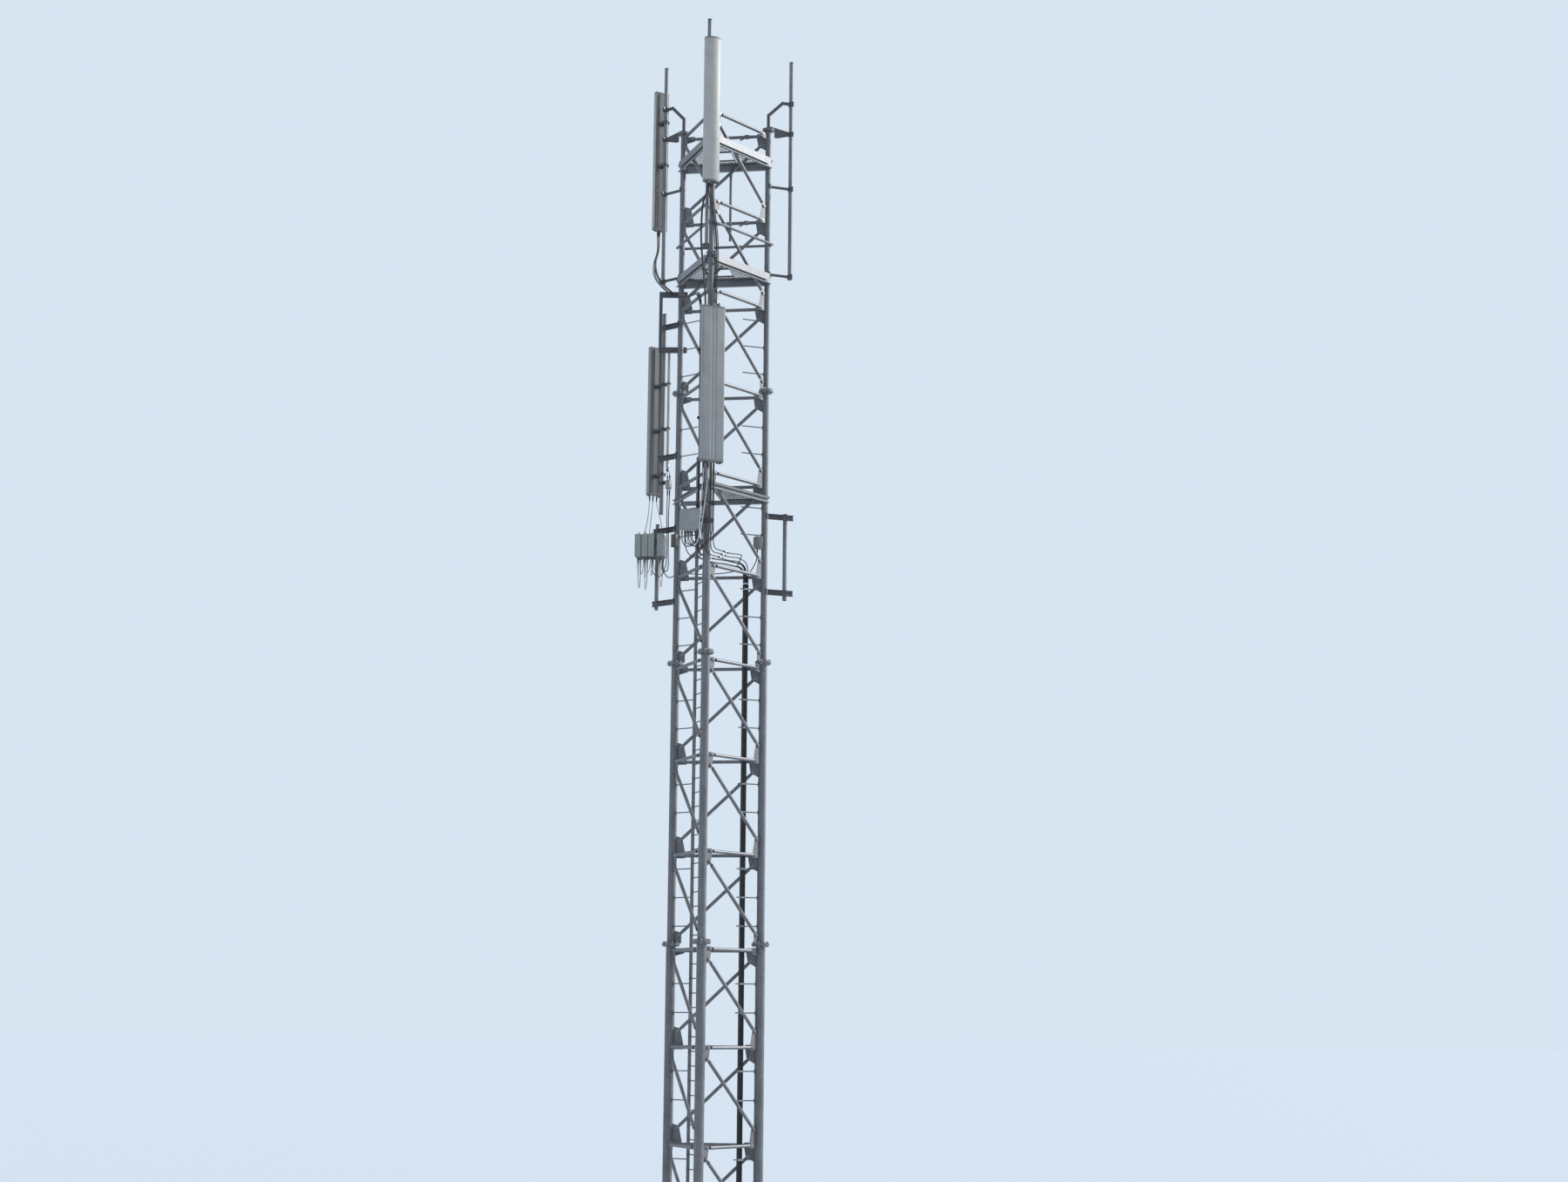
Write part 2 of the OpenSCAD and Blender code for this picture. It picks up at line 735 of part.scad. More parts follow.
module on_pole(p, z, look) {
    translate([p.x, p.y, z]) rotate(look) children();
}

front_top_p = out_of(FRONT, top_pole_out);
left_top_p = out_of(LEFT, top_pole_out);
front_low_p = beside_arm(FRONT, lower_pole_out, 1);
left_low_p = beside_arm(LEFT, left_pole_out, -1);
slim_p = beside_arm(LEFT, left_pole_out - slim_off, -1);

module antenna_upper_front() color(pale) on_pole(front_top_p, upper_front_z, upper_front_look)
    upper_antenna();
module antenna_upper_left() color(pale) on_pole(left_top_p, upper_left_z, upper_left_look)
    upper_antenna();
module antenna_lower_front() color(pale) on_pole(front_low_p, lower_front_z, lower_front_look)
    lower_antenna(lower_ant_w, ant_gap);
module antenna_lower_left() color(pale) on_pole(left_low_p, lower_left_z, lower_left_look)
    lower_antenna(left_ant_w, left_ant_gap);
module antenna_slim_left() color(pale) translate([slim_p.x, slim_p.y, slim_z])
    cylinder(d = slim_d, h = slim_l, $fn = tube_fn);

block_w = 60;
slim_bar_w = 30;
slim_clamp_t = 6;
slim_clamp_h = 44;
upper_front_clamps = [700, 2080];
upper_left_clamps = [1240, 2080];
lower_front_clamps = [350, lower_ant_l - 250];
lower_left_clamps = [350, 1200, lower_ant_l - 750];
slim_clamps = [1200, lower_ant_l - 750];

// Clamp band with the block that carries an antenna's back
module antenna_bracket(gap = ant_gap) {
    band(pole_d, clamp_t, clamp_h);
    translate([(pole_d + clamp_t) / 2, -block_w / 2, -clamp_h / 2])
        cube([gap - clamp_t / 2 - fit_gap, block_w, clamp_h]);
}

// Bar from a clamp band to the smaller band that holds the slim antenna
module slim_bracket() {
    start = (pole_d + clamp_t) / 2;
    translate([start, -slim_bar_w / 2, -slim_clamp_h / 2])
        cube([slim_off - start - (slim_d + slim_clamp_t) / 2, slim_bar_w, slim_clamp_h]);
    translate([slim_off, 0, 0]) band(slim_d, slim_clamp_t, slim_clamp_h);
}

module antenna_brackets() {
    color(dark_steel) {
        for (z = upper_front_clamps) on_pole(front_top_p, upper_front_z + z, upper_front_look) antenna_bracket();
        for (z = upper_left_clamps) on_pole(left_top_p, upper_left_z + z, upper_left_look) antenna_bracket();
        for (z = lower_front_clamps) on_pole(front_low_p, lower_front_z + z, lower_front_look) antenna_bracket();
        for (z = lower_left_clamps) on_pole(left_low_p, lower_left_z + z, lower_left_look)
            antenna_bracket(left_ant_gap);
        for (z = slim_clamps) on_pole(left_low_p, lower_left_z + z, leg_angle(LEFT) + 180) slim_bracket();
    }
}

radio_xs = [-290, -165, -45, 120];
rail_gap = 40;
rail_h = 50;

// Radio units hung side by side on a rail across the radio pole
module radio_units() {
    p = beside_arm(LEFT, radio_pole_out, -1);
    back = -pole_d / 2 - fit_gap;
    color(pale) translate([p.x, p.y, radio_z]) {
        for (x = radio_xs) translate([x - radio_w / 2, back - rail_gap - radio_l, 0])
            cube([radio_w, radio_l, radio_h]);
        translate([radio_xs[0] - radio_w / 2, back - rail_gap - 1, radio_h - 120])
            cube([radio_xs[3] - radio_xs[0] + radio_w, rail_gap / 2 + 1, rail_h]);
        translate([-40, back - rail_gap / 2 - 1, radio_h - 145]) cube([80, rail_gap / 2 + 1, 100]);
    }
}

box_z = 12150;
box_left = 100;
box_out = 60;
strap_t = 8;
small_box = [150, 140, 215];
small_box_side = -40;
small_box_z = 12060;
filter_box = [100, 85];
filter_drop = 245;
filter_gap = 75;
leg_box = [110, 90, 230];
leg_box_side = -75;
leg_box_z = 12125;

// Box radios: the square one left of the front leg and a small one inside the right leg, with the filter box
// below the slim antenna and a small box on the left leg
module radio_boxes() {
    r = leg_r(3);
    color(pale) {
        at_leg(FRONT, box_z) {
            translate([box_out, -box_left - box_w, 0]) cube([box_t, box_w, box_w]);
            translate([0, 0, box_w / 2]) band(2 * r, strap_t + 4, clamp_h);
            translate([box_out - strap_t, -box_left - box_w / 2, (box_w - clamp_h) / 2])
                cube([strap_t + 1, box_left + box_w / 2 - r / 2, clamp_h]);
        }
        at_leg(RIGHT, small_box_z)
            translate([-r - fit_gap - small_box.x, small_box_side - small_box.y / 2, 0]) cube(small_box);
        at_leg(LEFT, leg_box_z) translate([leg_box_side, r + fit_gap, 0]) cube(leg_box);
        on_pole(left_low_p, slim_z - filter_drop - filter_h, leg_angle(LEFT) + 180) {
            translate([0, 0, filter_h - clamp_h / 2]) band(pole_d, strap_t, clamp_h);
            translate([(pole_d + strap_t) / 2, -slim_bar_w / 2, filter_h - clamp_h])
                cube([filter_gap - strap_t / 2 + 1, slim_bar_w, clamp_h]);
            translate([pole_d / 2 + filter_gap, -filter_box.y / 2, 0])
                cube([filter_box.x, filter_box.y, filter_h]);
        }
    }
}

// Ring of points round p in the plane square to t
function cable_ring(p, t, r) = let (
    u = cross(t, [0.58, 0.7, 0.42]) / norm(cross(t, [0.58, 0.7, 0.42])),
    w = cross(t, u)
) [for (n = [0:cable_sides - 1]) p + r * (cos(n * 360 / cable_sides) * u + sin(n * 360 / cable_sides) * w)];

function unit(v) = v / norm(v);

// Direction of the curve at the route's point i
function heading(p, i) = unit(
    (i > 0 ? unit(p[i] - p[i - 1]) : [0, 0, 0]) + (i < len(p) - 1 ? unit(p[i + 1] - p[i]) : [0, 0, 0])
);

// Point at s from 0 to 1 on the smooth curve from a, heading u, to b, heading v
function curve_point(a, u, b, v, s) = let (l = norm(b - a), q = s * s, c = q * s)
    (2 * c - 3 * q + 1) * a + (c - 2 * q + s) * l * u + (3 * q - 2 * c) * b + (c - q) * l * v;

straight_limit = 0.02;
function bent(p, i) = norm(heading(p, i + 1) - heading(p, i)) + norm(unit(p[i + 1] - p[i]) - heading(p, i))
    > straight_limit;

function smooth_path(p, steps) = [
    for (i = [0:len(p) - 2]) let (n = bent(p, i) ? steps : 1) for (k = [0:n - 1])
        curve_point(p[i], heading(p, i), p[i + 1], heading(p, i + 1), k / n),
    p[len(p) - 1]
];

// A round cable along the smooth curve through its route's points
module cable(route, d, steps = 2) {
    p = smooth_path(route, steps);
    n = len(p);
    m = cable_sides;
    tangents = [for (i = [0:n - 1]) let (v = p[min(i + 1, n - 1)] - p[max(i - 1, 0)]) v / norm(v)];
    points = [for (i = [0:n - 1]) each cable_ring(p[i], tangents[i], d / 2)];
    faces = concat(
        [[for (j = [0:m - 1]) j]],
        [for (i = [0:n - 2]) for (j = [0:m - 1])
            [i * m + j, (i + 1) * m + j, (i + 1) * m + (j + 1) % m, i * m + (j + 1) % m]],
        [[for (j = [m - 1:-1:0]) (n - 1) * m + j]]
    );
    polyhedron(points, faces);
}

run_top = 11830;
run_step = 65;

// World point from one in the right face's frame: x from the front leg, y inwards
function face_point(x, y, z) = [x * cos(60) - y * sin(60), x * sin(60) + y * cos(60), z];

// Last part of a route: along the right face in a lane, over and down onto the feeder m, n
function run_in(m, n, lane) = let (
    x = face_w - feeder_x(m) * cos(30) + feeder_y(n) * sin(30),
    y = feeder_x(m) * sin(30) + feeder_y(n) * cos(30),
    z = run_top - m * run_step
) [
    face_point(150, lane, z), face_point(450, lane, z - 20), face_point(x - 550, lane, z),
    face_point(x - 370, (lane + y) / 2, z), face_point(x - 220, y, z), face_point(x - 160, y, z),
    face_point(x - 50, y, z - 50), face_point(x, y, z - 170), face_point(x, y, feeder_top + 100),
    face_point(x, y, feeder_top + fit_gap)
];

// Routes of the jumper cables, from the antennas and radios to the tops of the feeders
front_routes = [
    concat([[40, -640, 18339.7], [40, -640, 18240], [-60, -570, 17980], [-120, -400, 17650],
        [-140, -270, 17300], [-115, -190, 16900], [-85, -148, 16500], [-75, -132, 16200],
        [-75, -132, 16000], [-75, -132, 12300], [-75, -132, 12100], face_point(-146, -20, 11930),
        face_point(-118, -65, 11800), face_point(-50, -108, 11715), face_point(50, -116, 11702)],
        run_in(2, 0, -115)),
    concat([[110, -600, 18339.7], [110, -600, 18240], [150, -420, 17750], [175, -290, 17300],
        [160, -200, 16900], [130, -118, 16500], [123, -97, 16200], [123, -97, 16000], [123, -97, 12300],
        [123, -97, 12100], face_point(-15, -153, 11950), face_point(15, -146, 11870),
        face_point(75, -128, 11835)], run_in(0, 0, -115)),
    concat([[75, -560, 18339.7], [75, -560, 18240], [110, -300, 17650], [130, -190, 17200],
        [110, -155, 16800], [87, -136, 16400], [83, -130, 16150], [83, -130, 15950], [83, -130, 12250],
        [83, -130, 12050], face_point(-65, -135, 11890), face_point(-35, -130, 11805),
        face_point(40, -120, 11768)], run_in(1, 0, -115))
];
left_routes = [
    concat([[-1306.9, 1747.6, 18249.7], [-1306.9, 1747.6, 18150], [-1310, 1735, 17900],
        [-1340, 1650, 17600], [-1288, 1540, 17350], [-1153, 1434, 17120], [-1017, 1349, 16980],
        [-860, 1215, 16830], [-710, 1060, 16760], [-430, 560, 16640], [-240, 200, 16540], [-185, 90, 16350],
        [-172, 58, 16050], [-172, 58, 15850], [-172, 58, 12300], [-172, 58, 12100],
        face_point(-33, 180, 11930), face_point(-8, 188, 11830), face_point(60, 218, 11772)],
        run_in(1, 2, 238)),
    concat([[-1309.2, 1783.6, 18249.7], [-1309.2, 1783.6, 18150], [-1315, 1765, 17870],
        [-1361, 1663, 17560], [-1318, 1528, 17300], [-1175, 1410, 17080], [-1040, 1325, 16940],
        [-885, 1190, 16790], [-735, 1035, 16720], [-455, 535, 16600], [-250, 150, 16490], [-175, 50, 16300],
        [-157, 20, 16000], [-157, 20, 15800], [-157, 20, 12280], [-157, 20, 12080],
        face_point(-58, 148, 11930), face_point(-35, 156, 11830), face_point(35, 178, 11772)],
        run_in(1, 1, 212))
];
radio_routes = [
    [[-1410, 1795, 13209.7], [-1410, 1795, 13100], [-1440, 1730, 12650], [-1500, 1675, 12350],
        [-1520, 1650, 12000], [-1520, 1600, 11620], [-1520, 1500, 11420], [-1520, 1410, 11560],
        [-1520, 1390, 11880], [-1520, 1390, 11969.7]],
    [[-1358, 1843, 13209.7], [-1358, 1843, 13100], [-1380, 1760, 12650], [-1392, 1700, 12350],
        [-1395, 1650, 12000], [-1395, 1600, 11590], [-1395, 1500, 11390], [-1395, 1410, 11530],
        [-1395, 1390, 11880], [-1395, 1390, 11969.7]],
    [[-1300, 1898, 13209.7], [-1300, 1898, 13100], [-1190, 1800, 12700], [-1120, 1715, 12350],
        [-1110, 1650, 12000], [-1110, 1600, 11630], [-1110, 1500, 11430], [-1110, 1410, 11570],
        [-1110, 1390, 11880], [-1110, 1390, 11969.7]],
    [[-1090, 1550, 11969.7], [-1090, 1550, 11870], [-1060, 1545, 11700], [-980, 1530, 11610],
        [-860, 1495, 11630], [-720, 1465, 11655], [-300, 1452, 11640], [100, 1452, 11660],
        [280, 1425, 11685], [410, 1370, 11690], [475, 1318, 11640], [496.3, 1303.7, 11530],
        [496.3, 1303.7, 11460], [496.3, 1303.7, 11380.3]]
];
slim_routes = [
    [[-1058, 1602, 13679.7], [-1058, 1602, 13640], [-1052, 1598, 13560], [-1038, 1591, 13490],
        [-1038, 1591, 13435.3]],
    [[-1038, 1590, 13679.7], [-1038, 1590, 13640], [-1003, 1570, 13565], [-995, 1566, 13490],
        [-995, 1566, 13435.3]],
    [[-1038, 1591, 13254.7], [-1038, 1591, 13150], [-1010, 1440, 12650], [-1005, 1440, 12400],
        [-1005, 1450, 12000], [-1040, 1465, 11760], [-1130, 1470, 11620], [-1230, 1470, 11660],
        [-1275, 1470, 11790], [-1275, 1470, 11880], [-1275, 1470, 11969.7]],
    [[-995, 1566, 13254.7], [-995, 1566, 13150], [-975, 1410, 12650], [-970, 1405, 12400],
        [-970, 1415, 12000], [-971, 1422, 11770], [-988, 1430, 11720], [-1028, 1436, 11703],
        [-1068, 1440, 11720], [-1085, 1440, 11770], [-1085, 1440, 11870], [-1085, 1440, 11969.7]]
];
box_routes = [
    concat([[-380, -125, 12149.7], [-380, -125, 12050], face_point(-285, 266, 11900),
        face_point(-225, 262, 11770), face_point(-100, 268, 11710)], run_in(2, 2, 252)),
    concat([[-150, -125, 12149.7], [-150, -125, 12060], face_point(-180, 70, 11930),
        face_point(-150, 100, 11800), face_point(-70, 150, 11712), face_point(40, 202, 11702)],
        run_in(2, 1, 226)),
    [[31, -647, 13259.7], [31, -647, 13150], [0, -570, 12850], [-50, -420, 12500], [-85, -320, 12250],
        [-100, -265, 12050], [-150, -215, 11890], [-230, -178, 11850], [-310, -155, 11920],
        [-330, -150, 12050], [-330, -150, 12149.7]],
    [[105, -597, 13259.7], [105, -597, 13150], [70, -500, 12850], [0, -360, 12500], [-50, -270, 12250],
        [-85, -230, 12080], [-130, -200, 11960], [-190, -172, 11905], [-248, -156, 11940],
        [-270, -150, 12020], [-270, -150, 12149.7]],
    [[683.8, 1306.9, 12059.7], [683.8, 1306.9, 11960], [670, 1303, 11850], [600, 1290, 11700],
        [530, 1281, 11580], [510.4, 1279.2, 11480], [510.4, 1279.2, 11380.3]]
];

module jumper_cables() {
    color(black) for (route = concat(front_routes, left_routes, radio_routes, slim_routes, box_routes))
        cable(route, jumper_d);
}

leg(LEFT, 1);  // leg_left_1
leg(LEFT, 2);  // leg_left_2
leg(LEFT, 3);  // leg_left_3
leg(LEFT, 4);  // leg_left_4
leg(FRONT, 1);  // leg_front_1
leg(FRONT, 2);  // leg_front_2
leg(FRONT, 3);  // leg_front_3
leg(FRONT, 4);  // leg_front_4
leg(RIGHT, 1);  // leg_right_1
leg(RIGHT, 2);  // leg_right_2
leg(RIGHT, 3);  // leg_right_3
leg(RIGHT, 4);  // leg_right_4
bracing(LEFT);  // bracing_left
bracing(FRONT);  // bracing_right
bracing(RIGHT);  // bracing_back
ladder();
leg_brackets();
feeder_cables();
upper_platform_frame();
upper_platform_grating();
lower_platform_frame();
lower_platform_grating();
guard_rail();
landing_frame();
landing_grating();
top_arms(LEFT);  // top_arms_left
top_arms(FRONT);  // top_arms_front
top_arms(RIGHT);  // top_arms_right
top_pole(LEFT);  // top_pole_left
top_pole(FRONT);  // top_pole_front
top_pole(RIGHT);  // top_pole_right
lower_poles();
lower_arms_left();
lower_arms_front();
lower_arms_right();
empty_bracket();
antenna_upper_front();
antenna_upper_left();
antenna_lower_front();
antenna_lower_left();
antenna_slim_left();
antenna_brackets();
radio_units();
radio_boxes();
jumper_cables();
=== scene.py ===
# %% [markdown]
# # A cell tower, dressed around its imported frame
# The tower is a three-legged lattice mast of galvanised tubes, about 21 metres tall. It carries two small
# work platforms, three tall top poles, four panel antennas, a row of radio units and their cables. The
# frame gives every tube, plate and beam at its real size. This lesson adds what a close look shows: bolts,
# clamps, bar gratings, moulded cases, cables with their connectors, and the finish of each surface.

# %% Load the frame
import math
import random

import bmesh
import bpy
from mathutils import Matrix, Vector


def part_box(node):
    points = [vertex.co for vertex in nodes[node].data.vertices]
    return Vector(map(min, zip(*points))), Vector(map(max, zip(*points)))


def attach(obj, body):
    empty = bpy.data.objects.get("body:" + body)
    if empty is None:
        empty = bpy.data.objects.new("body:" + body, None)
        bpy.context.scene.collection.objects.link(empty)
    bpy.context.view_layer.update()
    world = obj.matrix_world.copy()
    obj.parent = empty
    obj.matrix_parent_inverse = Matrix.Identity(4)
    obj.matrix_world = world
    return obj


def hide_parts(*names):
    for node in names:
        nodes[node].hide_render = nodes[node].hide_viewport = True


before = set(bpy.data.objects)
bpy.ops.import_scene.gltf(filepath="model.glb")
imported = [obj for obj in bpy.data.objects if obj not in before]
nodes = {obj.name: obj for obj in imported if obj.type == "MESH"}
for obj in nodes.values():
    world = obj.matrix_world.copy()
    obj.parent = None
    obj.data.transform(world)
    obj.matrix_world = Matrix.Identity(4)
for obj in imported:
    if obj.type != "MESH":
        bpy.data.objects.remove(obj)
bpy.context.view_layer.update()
print("frame nodes:", len(nodes))

# %% [markdown]
# ## The tower's own directions
# A three-legged tower has three legs and three faces, and nearly everything on it repeats three times. So
# two small helpers give a place at a leg, with X pointing out of the tower, or at a face, with X running
# from one leg to the next and Y pointing into the tower. Every bolt and clamp is then placed in plain
# numbers.

# %% Legs, faces and levels
FACE = 1.6
DEPTH = FACE * math.sin(math.radians(60))
LEG_PLACES = {"left": (-FACE / 2, DEPTH), "front": (0.0, 0.0), "right": (FACE / 2, DEPTH)}
LEG_TURNS = {"left": 150, "front": 270, "right": 30}
FACE_STARTS = {"left": "left", "right": "front", "back": "right"}
FACE_TURNS = {"left": -60, "right": 60, "back": 180}
SECTION = 5.0
PANELS = 3
TOP_DROP = 0.11
LEG_RADII = [0.08415, 0.06985, 0.05715, 0.0508]


def shift(x, y, z):
    """Matrix that moves a piece."""
    return Matrix.Translation((x, y, z))


def turned(degrees, axis="Z"):
    """Matrix that turns a piece about an axis."""
    return Matrix.Rotation(math.radians(degrees), 4, axis)


def leg_radius(height):
    """Radius of the leg tube at a height."""
    return LEG_RADII[min(3, int(height / SECTION))]


def at_leg(leg, height):
    """Frame of a leg at a height: X out of the tower, Z up."""
    x, y = LEG_PLACES[leg]
    return shift(x, y, height) @ turned(LEG_TURNS[leg])


def at_face(face, height=0.0):
    """Frame of a face: X from its first leg to its second, Y into the tower."""
    x, y = LEG_PLACES[FACE_STARTS[face]]
    return shift(x, y, height) @ turned(FACE_TURNS[face])


def level(section, panel):
    """Height of a panel's upper horizontal, with sections counted 1 to 4 from the ground."""
    return section * SECTION - TOP_DROP - panel * SECTION / PANELS


print("levels:", [round(level(s, k), 2) for s in (1, 2, 3, 4) for k in range(PANELS)])

# %% [markdown]
# ## Camera
# The photograph looks up at the tower from about 43 metres away, a little to its right. The camera's place
# and lens were worked out from the tower's own corners, so the render can be laid over the photograph.

# %% Camera
CAMERA_PLACE = (7.574, -42.125, 3.625)
CAMERA_HEADING = 8.379
CAMERA_TILT = 99.897
CAMERA_ROLL = 0.486
CAMERA_LENS = 57.03

camera_data = bpy.data.cameras.new("photo_camera")
camera = bpy.data.objects.new("photo_camera", camera_data)
bpy.context.scene.collection.objects.link(camera)
camera_data.sensor_width = 36.0
camera_data.lens = CAMERA_LENS
camera_data.clip_end = 2000.0
camera.matrix_world = (
    shift(*CAMERA_PLACE) @ turned(CAMERA_HEADING) @ turned(CAMERA_TILT, "X") @ turned(CAMERA_ROLL)
)
bpy.context.scene.camera = camera
print("camera distance:", round(camera.location.length, 2))

# %% [markdown]
# ## Floor and light
# The tower stands on a plain pale floor under an even pale sky. One broad sun from the right and slightly
# behind gives the bright edges that the photograph has on the right-hand tubes, and the sky fills the rest.

# %% Floor, sky and sun
FLOOR_SIZE = 900.0
PALE = (0.68, 0.775, 0.88, 1.0)
FLOOR_COLOUR = (0.72, 0.80, 0.88, 1.0)
FILL_COLOUR = (0.80, 0.88, 1.0, 1.0)
FILL_STRENGTH = 0.58
SUN_STRENGTH = 3.0
SUN_BREADTH = 9
SUN_FROM = Vector((0.80, 0.38, 0.46))

bpy.ops.object.select_all(action="DESELECT")
bpy.ops.mesh.primitive_plane_add(size=FLOOR_SIZE, location=(0.0, 0.0, 0.0))
floor = bpy.context.object
floor.name = "studio_floor"
floor_paint = bpy.data.materials.new("studio_floor_paint")
floor_paint.use_nodes = True
floor_shader = floor_paint.node_tree.nodes["Principled BSDF"]
floor_shader.inputs["Base Color"].default_value = FLOOR_COLOUR
floor_shader.inputs["Roughness"].default_value = 0.9
floor.data.materials.append(floor_paint)

world = bpy.data.worlds.new("pale_sky")
bpy.context.scene.world = world
world.use_nodes = True
sky_nodes = world.node_tree.nodes
sky_links = world.node_tree.links
sky_nodes.clear()
path = sky_nodes.new("ShaderNodeLightPath")
seen_share = path.outputs["Is Camera Ray"]
for ray in ("Is Glossy Ray", "Is Transmission Ray"):
    either = sky_nodes.new("ShaderNodeMath")
    either.operation = "MAXIMUM"
    sky_links.new(seen_share, either.inputs[0])
    sky_links.new(path.outputs[ray], either.inputs[1])
    seen_share = either.outputs[0]
blend = sky_nodes.new("ShaderNodeMixShader")
sky_links.new(seen_share, blend.inputs[0])
for place, colour, strength in ((1, FILL_COLOUR, FILL_STRENGTH), (2, PALE, 1.0)):
    sky = sky_nodes.new("ShaderNodeBackground")
    sky.inputs["Color"].default_value = colour
    sky.inputs["Strength"].default_value = strength
    sky_links.new(sky.outputs[0], blend.inputs[place])
out = sky_nodes.new("ShaderNodeOutputWorld")
sky_links.new(blend.outputs[0], out.inputs["Surface"])

sun_data = bpy.data.lights.new("broad_sun", "SUN")
sun_data.energy = SUN_STRENGTH
sun_data.angle = math.radians(SUN_BREADTH)
sun_data.color = (1.0, 0.97, 0.92)
sun = bpy.data.objects.new("broad_sun", sun_data)
sun.rotation_mode = "QUATERNION"
sun.rotation_quaternion = SUN_FROM.to_track_quat("Z", "Y")
bpy.context.scene.collection.objects.link(sun)

bpy.context.scene.view_settings.view_transform = "Standard"
print("floor, sky and sun are ready")

# %% [markdown]
# ## Galvanised steel
# Hot-dip zinc is never one grey. Fresh zinc shows crystals some millimetres wide, called spangle. Weather
# then dulls it in soft patches, rain draws thin vertical streaks, and close up it has a fine grain. One
# function builds this finish from four textures on Object coordinates, in metres, and each kind of steel on
# the tower gets its own tone and wear.


# %% The zinc finish
def new_finish(name):
    """A new material, its node tree, its shader and its plain Object coordinates."""
    material = bpy.data.materials.new(name)
    material.use_nodes = True
    tree = material.node_tree
    return material, tree, tree.nodes["Principled BSDF"], stretched_coords(tree, (1.0, 1.0, 1.0))


def noise(tree, coords, scale, detail, rough):
    """A noise texture on the given coordinates; gives its value."""
    texture = tree.nodes.new("ShaderNodeTexNoise")
    texture.inputs["Scale"].default_value = scale
    texture.inputs["Detail"].default_value = detail
    texture.inputs["Roughness"].default_value = rough
    tree.links.new(coords, texture.inputs["Vector"])
    return texture.outputs["Fac"]


def roughened(tree, shader, factor, least, most):
    """Lets the roughness follow a texture between two values."""
    spread = tree.nodes.new("ShaderNodeMapRange")
    spread.inputs["To Min"].default_value = least
    spread.inputs["To Max"].default_value = most
    tree.links.new(factor, spread.inputs["Value"])
    tree.links.new(spread.outputs["Result"], shader.inputs["Roughness"])


def grained(tree, shader, factor, strength, distance):
    """Gives the surface a fine relief from a texture."""
    bump = tree.nodes.new("ShaderNodeBump")
    bump.inputs["Strength"].default_value = strength
    bump.inputs["Distance"].default_value = distance
    tree.links.new(factor, bump.inputs["Height"])
    tree.links.new(bump.outputs["Normal"], shader.inputs["Normal"])


def stretched_coords(tree, scale):
    """Object coordinates, stretched by a scale in each direction."""
    where = tree.nodes.new("ShaderNodeTexCoord")
    mapping = tree.nodes.new("ShaderNodeMapping")
    mapping.inputs["Scale"].default_value = scale
    tree.links.new(where.outputs["Object"], mapping.inputs["Vector"])
    return mapping.outputs["Vector"]


def tone_ramp(tree, factor, dark, light, start, end):
    """A colour ramp from dark to light over a part of the factor's range."""
    ramp = tree.nodes.new("ShaderNodeValToRGB")
    ramp.color_ramp.elements[0].position = start
    ramp.color_ramp.elements[0].color = (*dark, 1.0)
    ramp.color_ramp.elements[1].position = end
    ramp.color_ramp.elements[1].color = (*light, 1.0)
    tree.links.new(factor, ramp.inputs["Fac"])
    return ramp.outputs["Color"]


def mixed(tree, kind, share, first, second):
    """Mixes two colours; share is a number or a socket."""
    mix = tree.nodes.new("ShaderNodeMix")
    mix.data_type = "RGBA"
    mix.blend_type = kind
    if isinstance(share, float):
        mix.inputs["Factor"].default_value = share
    else:
        tree.links.new(share, mix.inputs["Factor"])
    tree.links.new(first, mix.inputs["A"])
    tree.links.new(second, mix.inputs["B"])
    return mix.outputs["Result"]


def grey(value, blue=1.03):
    """A slightly cool grey."""
    return (value * 0.985, value, value * blue)


def zinc_finish(name, tone, metal, rough, spangle=70.0, streak=0.35):
    """Weathered zinc: spangle crystals, dull patches and rain streaks."""
    material, tree, shader, plain = new_finish(name)
    crystals = tree.nodes.new("ShaderNodeTexVoronoi")
    crystals.inputs["Scale"].default_value = spangle
    crystals.inputs["Randomness"].default_value = 1.0
    tree.links.new(plain, crystals.inputs["Vector"])
    crystal_tone = tree.nodes.new("ShaderNodeSeparateColor")
    tree.links.new(crystals.outputs["Color"], crystal_tone.inputs["Color"])
    dark, light = grey(tone * 0.80), grey(tone * 1.16)
    crystal_colour = tone_ramp(tree, crystal_tone.outputs[0], dark, light, 0.0, 1.0)

    patches = noise(tree, plain, 2.3, 5.0, 0.6)
    patch_colour = tone_ramp(tree, patches, grey(0.72), grey(1.0), 0.36, 0.62)
    weathered = mixed(tree, "MULTIPLY", 0.85, crystal_colour, patch_colour)

    rain = noise(tree, stretched_coords(tree, (34.0, 34.0, 0.8)), 1.0, 3.0, 0.55)
    rain_colour = tone_ramp(tree, rain, grey(0.66, 1.0), grey(1.0), 0.40, 0.60)
    coloured = mixed(tree, "MULTIPLY", streak, weathered, rain_colour)
    tree.links.new(coloured, shader.inputs["Base Color"])
    shader.inputs["Metallic"].default_value = metal
    roughened(tree, shader, patches, rough - 0.09, rough + 0.14)
    grained(tree, shader, noise(tree, plain, 260.0, 3.0, 0.7), 0.25, 0.0006)
    return material


